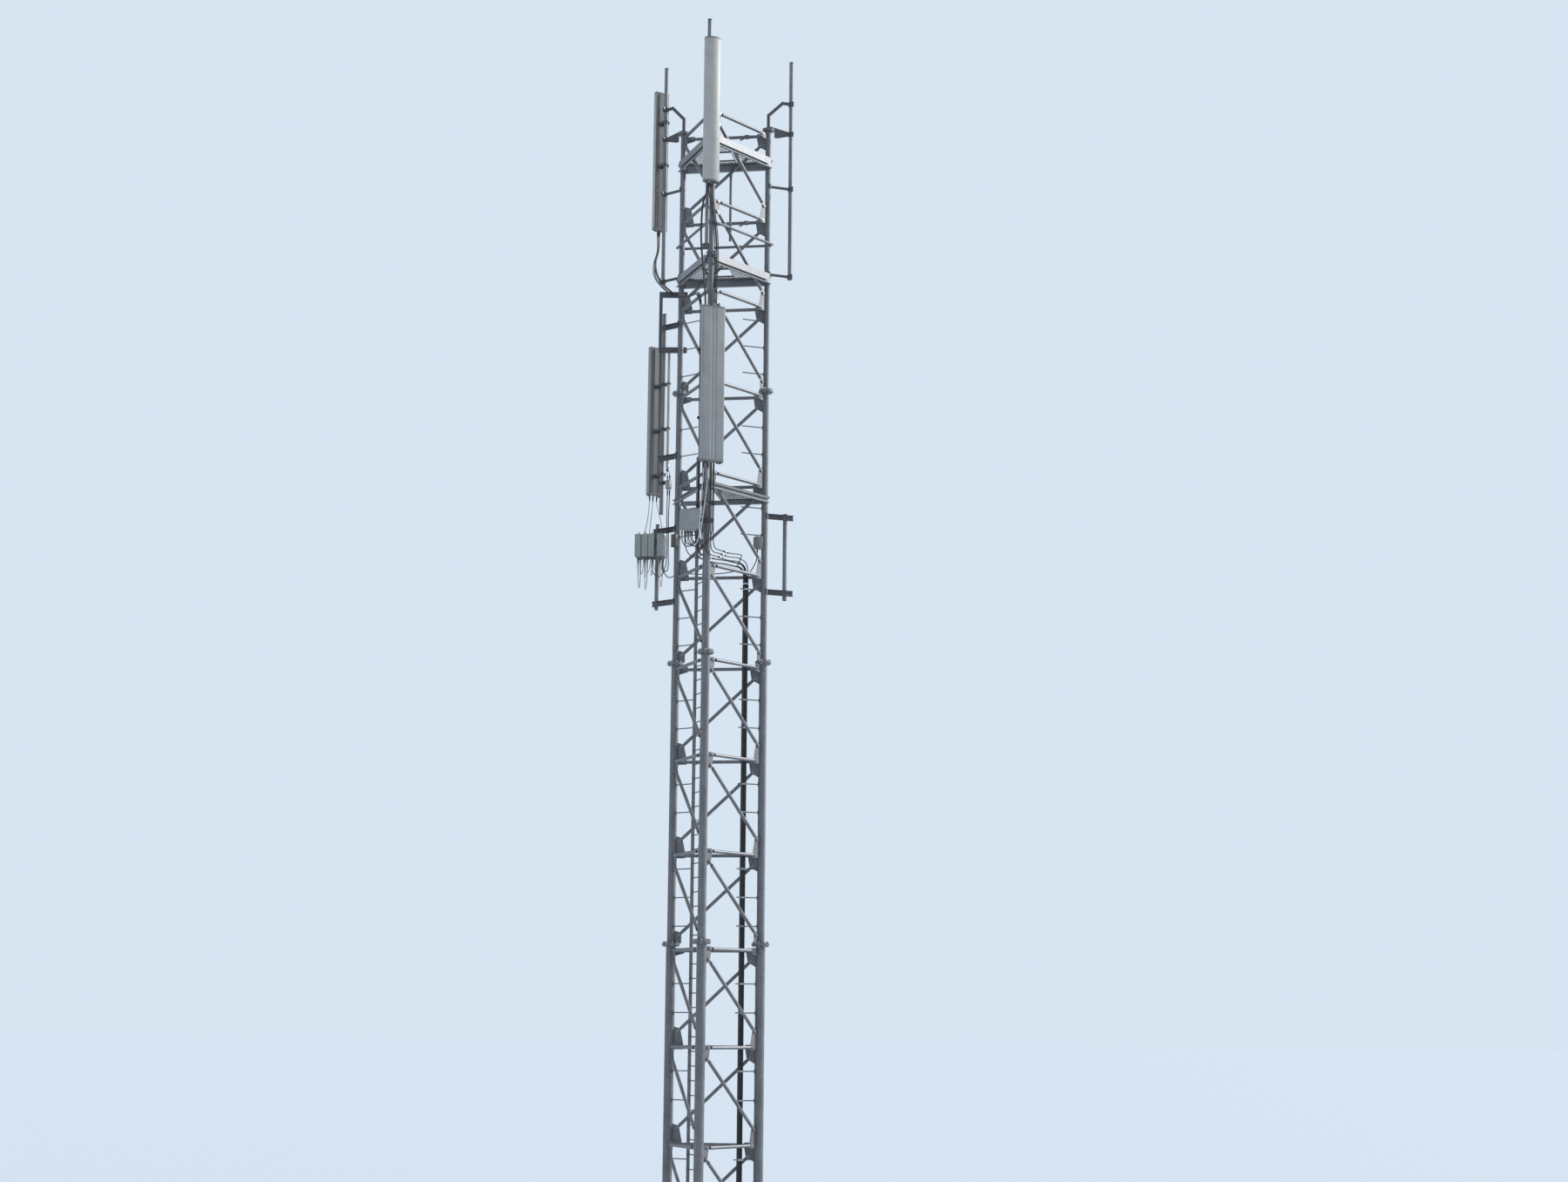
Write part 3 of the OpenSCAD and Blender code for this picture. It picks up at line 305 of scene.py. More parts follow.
FINISHES = {
    "galvanised_tube": zinc_finish("galvanised_tube", 0.215, 0.35, 0.50),
    "galvanised_brace": zinc_finish("galvanised_brace", 0.225, 0.45, 0.42, spangle=90.0),
    "galvanised_small": zinc_finish("galvanised_small", 0.20, 0.35, 0.50, spangle=120.0, streak=0.2),
    "galvanised_platform": zinc_finish("galvanised_platform", 0.30, 0.30, 0.46, spangle=80.0),
    "galvanised_pole": zinc_finish("galvanised_pole", 0.25, 0.45, 0.44, spangle=90.0, streak=0.45),
    "galvanised_bracket": zinc_finish("galvanised_bracket", 0.12, 0.30, 0.55, spangle=110.0),
}
print("zinc finishes:", sorted(FINISHES))

# %% [markdown]
# ## Moulded cases, cable jackets and fittings
# An antenna's cover is glass-fibre plastic, pale grey, with rain marks and a little chalking. A radio's
# case is painted die-cast metal. A cable's jacket is black polyethylene that has gone slightly grey, and a
# few jumpers are light grey. Connectors are nickel-plated, and their boots are black rubber.


# %% Case, jacket and fitting finishes
def case_finish(name, colour, rough, marks=0.22):
    """A painted or moulded case: cloudy tone, rain marks and a fine orange-peel skin."""
    material, tree, shader, plain = new_finish(name)
    clouds = noise(tree, plain, 3.2, 6.0, 0.62)
    pale = tuple(min(1.0, c * 1.05) for c in colour)
    dull = tuple(c * 0.86 for c in colour)
    body = tone_ramp(tree, clouds, dull, pale, 0.32, 0.68)
    rain = noise(tree, stretched_coords(tree, (46.0, 46.0, 0.9)), 1.0, 4.0, 0.6)
    rain_colour = tone_ramp(tree, rain, (0.60, 0.58, 0.53), (1.0, 1.0, 1.0), 0.36, 0.56)
    marked = mixed(tree, "MULTIPLY", marks, body, rain_colour)
    tree.links.new(marked, shader.inputs["Base Color"])
    roughened(tree, shader, clouds, rough - 0.08, rough + 0.12)
    grained(tree, shader, noise(tree, plain, 420.0, 2.0, 0.5), 0.12, 0.0004)
    return material


def jacket_finish(name, colour, rough):
    """A cable's plastic jacket or a rubber boot: fine scuffs and a dusty bloom."""
    material, tree, shader, plain = new_finish(name)
    dust = noise(tree, plain, 9.0, 6.0, 0.7)
    dusty = tuple(min(1.0, c * 1.5 + 0.02) for c in colour)
    tree.links.new(tone_ramp(tree, dust, colour, dusty, 0.42, 0.75), shader.inputs["Base Color"])
    shader.inputs["Roughness"].default_value = rough
    grained(tree, shader, noise(tree, plain, 300.0, 2.0, 0.6), 0.2, 0.0004)
    return material


FINISHES["antenna_case"] = case_finish("antenna_case", (0.49, 0.49, 0.465), 0.48)
dark_case = case_finish("dark_case", (0.085, 0.09, 0.088), 0.52, marks=0.1)
lower_case = case_finish("lower_case", (0.33, 0.345, 0.345), 0.50)
grating_zinc = zinc_finish("grating_zinc", 0.15, 0.25, 0.55, spangle=80.0)
FINISHES["radio_case"] = case_finish("radio_case", (0.33, 0.35, 0.345), 0.52, marks=0.16)
FINISHES["cable_jacket"] = jacket_finish("cable_jacket", (0.018, 0.019, 0.021), 0.52)
pale_jacket = jacket_finish("pale_jacket", (0.42, 0.43, 0.44), 0.50)
boot_rubber = jacket_finish("boot_rubber", (0.012, 0.012, 0.013), 0.70)
# Painted shade on the antenna end caps and the radio units' undersides; the slim antenna's cap, the radio
# handles and the junction box use the same dark grey.
case_shadow = case_finish("case_shadow", (0.20, 0.215, 0.21), 0.55, marks=0.1)
# Painted shade: a darker grey laid on the antennas' back faces, with heavier rain marks.
shaded_antenna_back = case_finish("shaded_antenna_back", (0.235, 0.24, 0.235), 0.50, marks=0.3)
bright_zinc = zinc_finish("bright_zinc", 0.42, 0.7, 0.34, spangle=200.0, streak=0.1)
nickel = zinc_finish("nickel", 0.50, 0.9, 0.28, spangle=400.0, streak=0.0)
bracket_zinc = FINISHES["galvanised_bracket"]
radio_case = FINISHES["radio_case"]
print("finishes:", len(FINISHES), "slots and 9 more tones")

# %% [markdown]
# The frame's own tubes, beams and plates already have the right shape, so they only get their finish. Each
# node knows its material slot by name, which the record gives, and the finish of that name takes its place.

# %% Dress the frame's own nodes
slot_of = {}
for name, cad_node in nodes.items():
    slot_of[name] = cad_node.data.materials[0].name.split(".")[0]
    cad_node.data.materials[0] = FINISHES[slot_of[name]]
print("dressed nodes:", len(slot_of))

# %% [markdown]
# ## Working in edit mode by code
# New pieces are modelled as by hand: a primitive is added, some of its faces or edges are selected, and an
# operator acts on them. Two things differ in a script. Everything has to be deselected before a primitive
# is added, and the selection is made by a test on each face's middle and normal, or on each edge's two
# ends.


# %% Helpers for modelling
def rest_hands():
    """Leaves edit mode and deselects every object."""
    if bpy.context.object and bpy.context.object.mode != "OBJECT":
        bpy.ops.object.mode_set(mode="OBJECT")
    bpy.ops.object.select_all(action="DESELECT")


def hold(piece):
    """Selects one piece and nothing else, and makes it the active one."""
    rest_hands()
    piece.select_set(True)
    bpy.context.view_layer.objects.active = piece


def modify(piece, kind, **settings):
    """Adds a modifier with its settings to a piece and applies it."""
    hold(piece)
    step = piece.modifiers.new("step", kind)
    for setting, value in settings.items():
        setattr(step, setting, value)
    bpy.ops.object.modifier_apply(modifier=step.name)


def smooth(piece, angle=35):
    """Shades a piece smooth, except at edges sharper than an angle."""
    hold(piece)
    bpy.ops.object.shade_smooth_by_angle(angle=math.radians(angle))


def block(name, low, high):
    """A block between two corners, as the start of a piece."""
    rest_hands()
    middle = [(a + b) / 2 for a, b in zip(low, high)]
    size = [b - a for a, b in zip(low, high)]
    bpy.ops.mesh.primitive_cube_add(size=1.0, location=middle, scale=size)
    bpy.ops.object.transform_apply(location=True, rotation=True, scale=True)
    bpy.context.object.name = name
    return bpy.context.object


def drum(name, radius, low, high, sides=24, axis="Z", at=(0.0, 0.0)):
    """A drum from low to high along an axis, as the start of a round piece."""
    rest_hands()
    middle = (low + high) / 2
    turn = {"X": (0.0, math.pi / 2, 0.0), "Y": (math.pi / 2, 0.0, 0.0), "Z": (0.0, 0.0, 0.0)}[axis]
    place = {"X": (middle, at[0], at[1]), "Y": (at[0], middle, at[1]), "Z": (at[0], at[1], middle)}[axis]
    bpy.ops.mesh.primitive_cylinder_add(
        vertices=sides, radius=radius, depth=high - low, location=place, rotation=turn
    )
    bpy.ops.object.transform_apply(location=True, rotation=True, scale=True)
    bpy.context.object.name = name
    return bpy.context.object


def edit(piece):
    """Opens a piece in edit mode with nothing selected."""
    hold(piece)
    bpy.ops.object.mode_set(mode="EDIT")
    bpy.ops.mesh.select_all(action="DESELECT")


def pick_faces(piece, test):
    """In edit mode, selects the faces whose middle and normal pass the test."""
    bpy.ops.mesh.select_mode(type="FACE")
    bpy.ops.mesh.select_all(action="DESELECT")
    shape = bmesh.from_edit_mesh(piece.data)
    for face in shape.faces:
        face.select_set(test(face.calc_center_median(), face.normal))
    bmesh.update_edit_mesh(piece.data)


def pick_edges(piece, test):
    """In edit mode, selects the edges whose two ends pass the test."""
    bpy.ops.mesh.select_mode(type="EDGE")
    bpy.ops.mesh.select_all(action="DESELECT")
    shape = bmesh.from_edit_mesh(piece.data)
    for edge in shape.edges:
        edge.select_set(test(edge.verts[0].co, edge.verts[1].co))
    bmesh.update_edit_mesh(piece.data)


def soften(piece, width, segments=2):
    """Bevels every sharp edge and shades the piece smooth."""
    sharp = math.radians(40)
    modify(piece, "BEVEL", width=width, segments=segments, limit_method="ANGLE", angle_limit=sharp)
    smooth(piece)


def paint(piece, finish):
    """Gives a whole piece one finish."""
    piece.data.materials.clear()
    piece.data.materials.append(finish)
    return piece


def soft_block(name, low, high, width, segments, finish):
    """A block in one finish with all its edges bevelled."""
    made = block(name, low, high)
    soften(made, width, segments)
    return paint(made, finish)


def inset_and_move(piece, test, inset, move):
    """In edit mode, insets the faces that pass the test and moves what lies inside the inset."""
    pick_faces(piece, test)
    bpy.ops.mesh.inset(thickness=inset)
    bpy.ops.transform.translate(value=move)


def round_edges(piece, offset, segments, test):
    """In edit mode, bevels the edges that pass the test."""
    pick_edges(piece, test)
    bpy.ops.mesh.bevel(offset=offset, segments=segments)


def extrude(x, y, z):
    """In edit mode, extrudes what is selected."""
    bpy.ops.mesh.extrude_region_move(TRANSFORM_OT_translate={"value": (x, y, z)})


def slice_across(y):
    """In edit mode, cuts the whole piece by a plane across Y and keeps both sides."""
    bpy.ops.mesh.select_all(action="SELECT")
    bpy.ops.mesh.bisect(plane_co=(0, y, 0), plane_no=(0, 1, 0))


def join(name, parts):
    """Joins parts into one piece, each face keeping its finish."""
    rest_hands()
    for part in parts:
        part.select_set(True)
    bpy.context.view_layer.objects.active = parts[0]
    if len(parts) > 1:
        bpy.ops.object.join()
    parts[0].name = name
    return parts[0]


def copies(name, template, places):
    """Copies a template to each place, each copy with its own mesh, joins them and deletes the template."""
    made = []
    for place in places:
        copy = template.copy()
        copy.data = template.data.copy()
        copy.data.transform(place)
        bpy.context.scene.collection.objects.link(copy)
        made.append(copy)
    bpy.data.objects.remove(template)
    return join(name, made)


def finish_piece(piece, slot, *replaced):
    """Says what a finished piece rides on and hides the frame nodes it stands for; its slot is not used."""
    rest_hands()
    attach(piece, "root")
    if replaced:
        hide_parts(*replaced)
    print(piece.name, "has", len(piece.data.polygons), "faces")


def up_from(direction):
    """Matrix that turns +Z to a direction."""
    return Vector(direction).to_track_quat("Z", "Y").to_matrix().to_4x4()


print("modelling helpers are ready")

# %% [markdown]
# ## Bolts
# Every joint on the tower is bolted, so one bolt template serves them all: a washer and a six-sided head
# with its worn corners turned off, then a washer, a nut and a stub of thread on the far side. The head and
# the nut start as six-sided drums, whose outer face is inset and pushed out for the chamfer. With a few
# dozen faces each, hundreds of bolts stay light.


# %% The bolt template
def hex_drum(name, across, low, high, chamfered_top):
    """Six-sided drum with a chamfer at one end."""
    hexagon = drum(name, across / 2 / math.cos(math.radians(30)), low, high, sides=6)
    edit(hexagon)
    end = high if chamfered_top else low
    push = across * 0.06 * (1 if chamfered_top else -1)
    inset_and_move(
        hexagon, lambda middle, normal: abs(middle.z - end) < 1e-5 and abs(normal.z) > 0.9,
        across * 0.09, (0.0, 0.0, push),
    )
    rest_hands()
    return hexagon


def bolt_template(name, across, grip):
    """Bolt along +Z through a grip that starts at z = 0, with its head below."""
    washer_t = across * 0.12
    parts = [
        drum("head_washer", across * 0.62, -washer_t, 0.0, sides=12),
        hex_drum("head", across, -washer_t - across * 0.4, -washer_t, False),
        drum("nut_washer", across * 0.62, grip, grip + washer_t, sides=12),
        hex_drum("nut", across, grip + washer_t, grip + washer_t + across * 0.5, True),
        drum("thread", across * 0.32, grip + washer_t, grip + washer_t + across * 0.85, sides=8),
    ]
    return paint(join(name, parts), bright_zinc)


def bolt_at(name, across, grip, point, direction):
    """Bolt whose grip starts at a point and runs in a direction."""
    bolt = bolt_template(name, across, grip)
    bolt.data.transform(Matrix.Translation(point) @ up_from(direction))
    return bolt


print("a bolt template has", len(bolt_template("sample", 0.024, 0.022).data.polygons), "faces")
bpy.data.objects.remove(bpy.data.objects["sample"])

# %% [markdown]
# ## Bolts of the lattice
# Each brace ends in a tongue plate that is lapped onto a gusset and held by two bolts. The gusset is 10 mm
# thick on the face's own plane, and the tongue, 12 mm thick, lies on its outer side. The heads are outside.

# %% Gusset bolts
GUSSET_T = 0.010
TONGUE_T = 0.012
BRACE_SIDE = (GUSSET_T + TONGUE_T) / 2 + 0.0001
GRIP = GUSSET_T + TONGUE_T + 0.0001
BOLTS_ALONG = (-0.017, 0.017)
HORIZONTAL_IN = 0.165 - 0.045
DIAGONAL_TOP = (0.095, 0.19)
DIAGONAL_FOOT = (0.075, 0.28)


def brace_ends(section, panel):
    """Middles of the two end joints of a panel's horizontal, then of its diagonal, in the face's frame."""
    radius = LEG_RADII[section - 1]
    high = level(section, panel)
    inset = radius + HORIZONTAL_IN
    yield Vector((inset, 0, high)), Vector((FACE - inset, 0, high))
    start = Vector((radius + DIAGONAL_TOP[0], 0, high - DIAGONAL_TOP[1]))
    low = level(section, panel + 1) + DIAGONAL_FOOT[1]
    yield start, Vector((FACE - radius - DIAGONAL_FOOT[0], 0, low))


bolt_places = []
for face in FACE_STARTS:
    for section in (1, 2, 3, 4):
        for panel in range(PANELS):
            for first, second in brace_ends(section, panel):
                along = (second - first).normalized()
                for end, inward in ((first, along), (second, -along)):
                    for step in BOLTS_ALONG:
                        point = end + inward * step + Vector((0, -BRACE_SIDE - TONGUE_T / 2, 0))
                        place = at_face(face) @ Matrix.Translation(point) @ up_from((0, 1, 0))
                        bolt_places.append(place)
gusset_bolts = copies("gusset_bolts", bolt_template("gusset_bolt", 0.024, GRIP), bolt_places)
finish_piece(gusset_bolts, "galvanised_brace")
print("gusset bolts:", len(bolt_places))

# %% [markdown]
# ## Bolts of the leg flanges
# Two leg sections meet in a pair of 20 mm flange rings. Eight larger bolts stand on a circle near the rim,
# turned so that the gusset above the joint falls midway between two of them.

# %% Flange bolts
FLANGE_T = 0.020
FLANGE_RIM = 0.075
FLANGE_EDGE = 0.031
BOLTS_IN_FLANGE = 8
FIRST_BOLT_TURN = -150 + 22.5
flange_places = []
for leg in LEG_PLACES:
    for joint in (1, 2, 3):
        circle = LEG_RADII[joint - 1] + FLANGE_RIM - FLANGE_EDGE
        flange_foot = at_leg(leg, joint * SECTION - FLANGE_T)
        for n in range(BOLTS_IN_FLANGE):
            turn = turned(FIRST_BOLT_TURN + 360 / BOLTS_IN_FLANGE * n)
            flange_places.append(flange_foot @ turn @ shift(circle, 0, 0))
flange_bolts = copies("flange_bolts", bolt_template("flange_bolt", 0.036, 2 * FLANGE_T), flange_places)
finish_piece(flange_bolts, "galvanised_tube")
print("flange bolts:", len(flange_places))

# %% [markdown]
# ## Welds
# Flanges, base plates and caps are welded round the leg tubes. A weld is a small rough fillet, so a thin
# torus with a six-sided section is laid round the tube, and a little seeded noise makes its surface uneven.


# %% Weld rings
BASE_PLATE_T = 0.030
WELD = 0.009


def weld_ring(radius, height, side, leg):
    """Fillet ring round a leg, on top of a plate at this height (side 1) or under it (side -1)."""
    rest_hands()
    bpy.ops.mesh.primitive_torus_add(
        major_radius=radius + WELD * 0.25, minor_radius=WELD, major_segments=40, minor_segments=6
    )
    ring = bpy.context.object
    for point in ring.data.vertices:
        point.co += point.co.normalized() * weld_noise.uniform(-0.0012, 0.0012)
    ring.data.transform(at_leg(leg, height + side * WELD * 0.2))
    bpy.ops.object.shade_smooth()
    return ring


weld_noise = random.Random(11)
rings = []
for leg in LEG_PLACES:
    rings.append(weld_ring(LEG_RADII[0], BASE_PLATE_T, 1, leg))
    for joint in (1, 2, 3):
        rings.append(weld_ring(LEG_RADII[joint - 1], joint * SECTION - FLANGE_T, -1, leg))
        rings.append(weld_ring(LEG_RADII[joint], joint * SECTION + FLANGE_T, 1, leg))
    rings.append(weld_ring(LEG_RADII[3], 4 * SECTION - FLANGE_T, -1, leg))
leg_welds = paint(join("leg_welds", rings), FINISHES["galvanised_tube"])
finish_piece(leg_welds, "galvanised_tube")

# %% [markdown]
# ## Bar gratings
# The frame's grating is a solid plate with the right outline, hatch and cut-outs. The real one is open:
# thin bearing bars on edge, round cross rods through them, and a flat banding bar round the outline. A
# field of bars is laid over the whole platform and intersected with a copy of the plate, so every cut-out
# is kept.


# %% Grating helpers
def merged_copy(node_name):
    """Copy of a frame node with its loose triangles merged, as a cutting shape."""
    cutter = nodes[node_name].copy()
    cutter.data = nodes[node_name].data.copy()
    cutter.parent = None
    cutter.name = node_name + "_shape"
    bpy.context.scene.collection.objects.link(cutter)
    edit(cutter)
    bpy.ops.mesh.select_all(action="SELECT")
    bpy.ops.mesh.remove_doubles(threshold=0.00002)
    rest_hands()
    return cutter


def row_of_bars(name, bar, count, pitch, along):
    """Copies a bar in a row, each copy a pitch further."""
    start = -(count - 1) * pitch / 2
    places = [Matrix.Translation(Vector(along) * (start + n * pitch)) for n in range(count)]
    return copies(name, bar, places)


print("grating helpers are ready")

# %% [markdown]
# Each grating is built the same way, once for each of the three floors. The banding comes from the plate's
# own side walls: its top and bottom are deleted, and a Solidify modifier thickens what is left inwards.


# %% Build the three gratings
BAR_HALF_T = 0.0018
BAR_PITCH = 0.034
ROD_R = 0.0035
ROD_PITCH = 0.1
ROD_DEEP = 0.006
BANDING_T = 0.004


def bar_grating(node_name, name):
    """Open bar grating in the shape of a frame node."""
    cutter = merged_copy(node_name)
    low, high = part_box(node_name)
    x, y = [(low[i] + high[i]) / 2 for i in (0, 1)]
    reach = max(high[0] - low[0], high[1] - low[1]) / 2 + 0.05
    bar_low = (x - BAR_HALF_T, y - reach, low[2] + 0.001)
    bar_high = (x + BAR_HALF_T, y + reach, high[2] - 0.0005)
    bar = block("bar", bar_low, bar_high)
    bars = row_of_bars("bars", bar, int(2 * reach / BAR_PITCH), BAR_PITCH, (1, 0, 0))
    rod = drum("rod", ROD_R, -reach, reach, sides=8, axis="X")
    rod.data.transform(shift(x, y, high[2] - ROD_DEEP))
    rods = row_of_bars("rods", rod, int(2 * reach / ROD_PITCH), ROD_PITCH, (0, 1, 0))
    for row in (bars, rods):
        modify(row, "BOOLEAN", operation="INTERSECT", object=cutter, solver="EXACT")
    edit(cutter)
    pick_faces(cutter, lambda centre, normal: abs(normal.z) > 0.5)
    bpy.ops.mesh.delete(type="FACE")
    modify(cutter, "SOLIDIFY", thickness=BANDING_T, offset=-1.0)
    grating = paint(join(name, [bars, rods, cutter]), grating_zinc)
    hold(grating)
    bpy.ops.object.shade_flat()
    finish_piece(grating, "galvanised_platform", node_name)
    print(name, "is", round((high[2] - low[2]) * 1000), "mm deep")


bar_grating("upper_platform_grating", "upper_bar_grating")
bar_grating("lower_platform_grating", "lower_bar_grating")
bar_grating("landing_grating", "landing_bar_grating")

# %% [markdown]
# ## Upper panel antennas
# A panel antenna's cover, its radome, is one long pultruded section with a cap at each end. The upper ones
# have a gently rounded front. The section is easiest to get from a wide drum: three bisects cut it to a
# flat back and two flat sides. The caps are extruded from the ends, after a small neck that leaves a shadow
# line.

# %% Where the equipment poles stand
POLE_R = 0.03805
POLE_SIDE = (0.040 + 2 * POLE_R) / 2 + 0.0003
ANT_GAP = 0.080
CLEARANCE = 0.0004


def out_of(leg, distance):
    """Point at a distance out of the tower from a leg."""
    return (at_leg(leg, 0.0) @ Vector((distance, 0.0, 0.0))).to_2d()


def beside_arm(leg, distance, side):
    """Pole place beside a channel arm."""
    return (at_leg(leg, 0.0) @ Vector((distance, side * POLE_SIDE, 0.0))).to_2d()


def on_pole(place, height, look):
    """Frame on a pole's axis with X along the direction in which an antenna looks."""
    return shift(place.x, place.y, height) @ turned(look)


TOP_ARM = 0.45
FRONT_ARM = 0.42
LEFT_ARM = 0.45
RADIO_ARM = 0.53
SLIM_ARM = 0.32
SLIM_LOOK = 330
LOWER_LEFT_Z = 13.21
FRONT_TOP = out_of("front", TOP_ARM)
LEFT_TOP = out_of("left", TOP_ARM)
RIGHT_TOP = out_of("right", TOP_ARM)
FRONT_LOW = beside_arm("front", FRONT_ARM, 1)
LEFT_LOW = beside_arm("left", LEFT_ARM, -1)
SLIM = beside_arm("left", SLIM_ARM, -1)
RADIO_POLE = beside_arm("left", RADIO_ARM, -1)
SPARE_POLE = beside_arm("right", FRONT_ARM, 1)
UPPER_FRONT = on_pole(FRONT_TOP, height=18.34, look=-60)
UPPER_LEFT = on_pole(LEFT_TOP, height=18.25, look=134)
LOWER_FRONT = on_pole(FRONT_LOW, height=13.26, look=-56)
LOWER_LEFT = on_pole(LEFT_LOW, height=LOWER_LEFT_Z, look=133)
print("front lower pole stands at", [round(v, 4) for v in FRONT_LOW])

# %% The end caps of an antenna case
CAP = 0.030
NECK = 0.004


def end_cap(case, height, direction):
    """Grows a neck and a cap from an end face of a case."""
    edit(case)
    pick_faces(case, lambda middle, normal: abs(middle.z - height) < 1e-4 and normal.z * direction > 0.9)
    shape = bmesh.from_edit_mesh(case.data)
    ends = [corner.co for face in shape.faces if face.select for corner in face.verts]
    centre = sum(ends, Vector()) / len(ends)
    bpy.ops.mesh.inset(thickness=0.0035)
    extrude(0, 0, direction * NECK)
    bpy.ops.mesh.extrude_region_move()
    width = max(v.x for v in ends) - min(v.x for v in ends)
    length = max(v.y for v in ends) - min(v.y for v in ends)
    wider = ((width - 0.001) / (width - 0.007), (length - 0.001) / (length - 0.007), 1.0)
    bpy.ops.transform.resize(value=wider, center_override=centre)
    extrude(0, 0, direction * (CAP - NECK))
    bpy.ops.mesh.inset(thickness=0.008)
    bpy.ops.transform.translate(value=(0, 0, -direction * 0.003))
    rest_hands()


def bisected(case, point, normal):
    """Cuts a case by a plane, keeps the side behind it and closes the cut."""
    edit(case)
    bpy.ops.mesh.select_all(action="SELECT")
    bpy.ops.mesh.bisect(plane_co=point, plane_no=normal, use_fill=True, clear_outer=True)
    rest_hands()


def finish_antenna(case, length, edge, front):
    """Adds both caps and softens the edges, then paints the case, a back darkened as painted shade and caps
    darkened as painted shade.
    """
    end_cap(case, length - CAP, 1)
    end_cap(case, CAP, -1)
    soften(case, edge, 2)
    paint(case, front)
    case.data.materials.append(shaded_antenna_back)
    case.data.materials.append(case_shadow)
    # The end caps get case_shadow and the back faces the darker back tone, both painted shade.
    for face in case.data.polygons:
        if face.center.z < CAP or face.center.z > length - CAP:
            face.material_index = 2
        elif face.normal.x < -0.6:
            face.material_index = 1


print("caps are", CAP * 1000, "mm high")

# %% Upper antenna cases
UPPER_LENGTH = 2.7
UPPER_HALF = 0.145
UPPER_DEPTH = 0.14
CROWN = 0.06
CROWN_R = (CROWN ** 2 + UPPER_HALF ** 2) / (2 * CROWN)


def upper_antenna(name, node_name, place):
    """Round-fronted antenna case that stands for a frame node."""
    case = drum(name, CROWN_R, CAP, UPPER_LENGTH - CAP, sides=96, at=(UPPER_DEPTH - CROWN_R, 0.0))
    bisected(case, (0.0, 0, 0), (-1, 0, 0))
    bisected(case, (0, UPPER_HALF, 0), (0, 1, 0))
    bisected(case, (0, -UPPER_HALF, 0), (0, -1, 0))
    edit(case)
    round_edges(case, 0.012, 4, lambda a, b: abs(a.z - b.z) > 1 and abs(a.x) < 1e-4 and abs(b.x) < 1e-4)
    rest_hands()
    finish_antenna(case, UPPER_LENGTH, 0.0025, FINISHES["antenna_case"])
    case.data.transform(place @ shift(POLE_R + ANT_GAP, 0, 0))
    finish_piece(case, "antenna_case", node_name)


upper_antenna("upper_front_radome", "antenna_upper_front", UPPER_FRONT)
upper_antenna("upper_left_radome", "antenna_upper_left", UPPER_LEFT)

# %% [markdown]
# ## Lower panel antennas
# The lower antennas are wider and flatter, with well-rounded long edges and a faint ridge down the middle
# of the front. Bisects that delete nothing mark off strips of the front face, and the two strips beside the
# middle one are pulled in by a few millimetres, so that the middle one stands proud.

# %% Lower antenna cases
LOWER_LENGTH = 2.8
LOWER_DEPTH = 0.11
LEFT_GAP = 0.175
RIDGE = 0.008
GROOVE = 0.050
STRIP = 0.062
GROOVE_DEEP = 0.004


def lower_antenna(name, node_name, place, half, gap):
    """Flat antenna case of a half width, a gap away from its pole, that stands for a frame node."""
    case = block(name, (0, -half, CAP), (LOWER_DEPTH, half, LOWER_LENGTH - CAP))
    edit(case)
    for line in (-STRIP, -GROOVE, -RIDGE, RIDGE, GROOVE, STRIP):
        slice_across(line)
    inset_and_move(
        case, lambda middle, normal: normal.x > 0.9 and RIDGE < abs(middle.y) < GROOVE,
        0.0001, (-GROOVE_DEEP, 0, 0),
    )
    pick_edges(case, lambda a, b: abs(a.z - b.z) > 1 and abs(a.y) > half - 1e-3 and min(a.x, b.x) > 0.1)
    bpy.ops.mesh.bevel(offset=0.026, segments=6)
    pick_edges(case, lambda a, b: abs(a.z - b.z) > 1 and abs(a.y) > half - 1e-3 and max(a.x, b.x) < 1e-4)
    bpy.ops.mesh.bevel(offset=0.010, segments=3)
    rest_hands()
    finish_antenna(case, LOWER_LENGTH, 0.002, lower_case)
    case.data.transform(place @ shift(POLE_R + gap, 0, 0))
    finish_piece(case, "antenna_case", node_name)


lower_antenna("lower_front_radome", "antenna_lower_front", LOWER_FRONT, 0.215, ANT_GAP)
lower_antenna("lower_left_radome", "antenna_lower_left", LOWER_LEFT, 0.15, LEFT_GAP)

# %% [markdown]
# ## Slim round antenna
# Between the left pole and the left leg hangs a slim round antenna. Its case is a plain tube, so the shape
# is in the ends: a moulded cap above, and below a metal collar for its two ports. All three are made by
# extruding and resizing the end face of a short drum, again and again.


# %% Slim antenna
def stepped_drum(name, steps, finish, sides=14):
    """Round fitting along +Z from (height, radius) steps, by extruding and resizing its end face."""
    fitting = drum(name, steps[0][1], steps[0][0], steps[1][0], sides=sides)
    reached = steps[1][0]
    edit(fitting)
    pick_faces(fitting, lambda middle, normal: abs(middle.z - reached) < 1e-5 and normal.z > 0.9)
    radius = steps[0][1]
    for height, wanted in steps[1:]:
        if abs(height - reached) > 1e-6:
            extrude(0, 0, height - reached)
            reached = height
        else:
            bpy.ops.mesh.extrude_region_move()
        ratio = wanted / radius
        bpy.ops.transform.resize(value=(ratio, ratio, 1.0), center_override=(0, 0, height))
        radius = wanted
    smooth(fitting)
    return paint(fitting, finish)


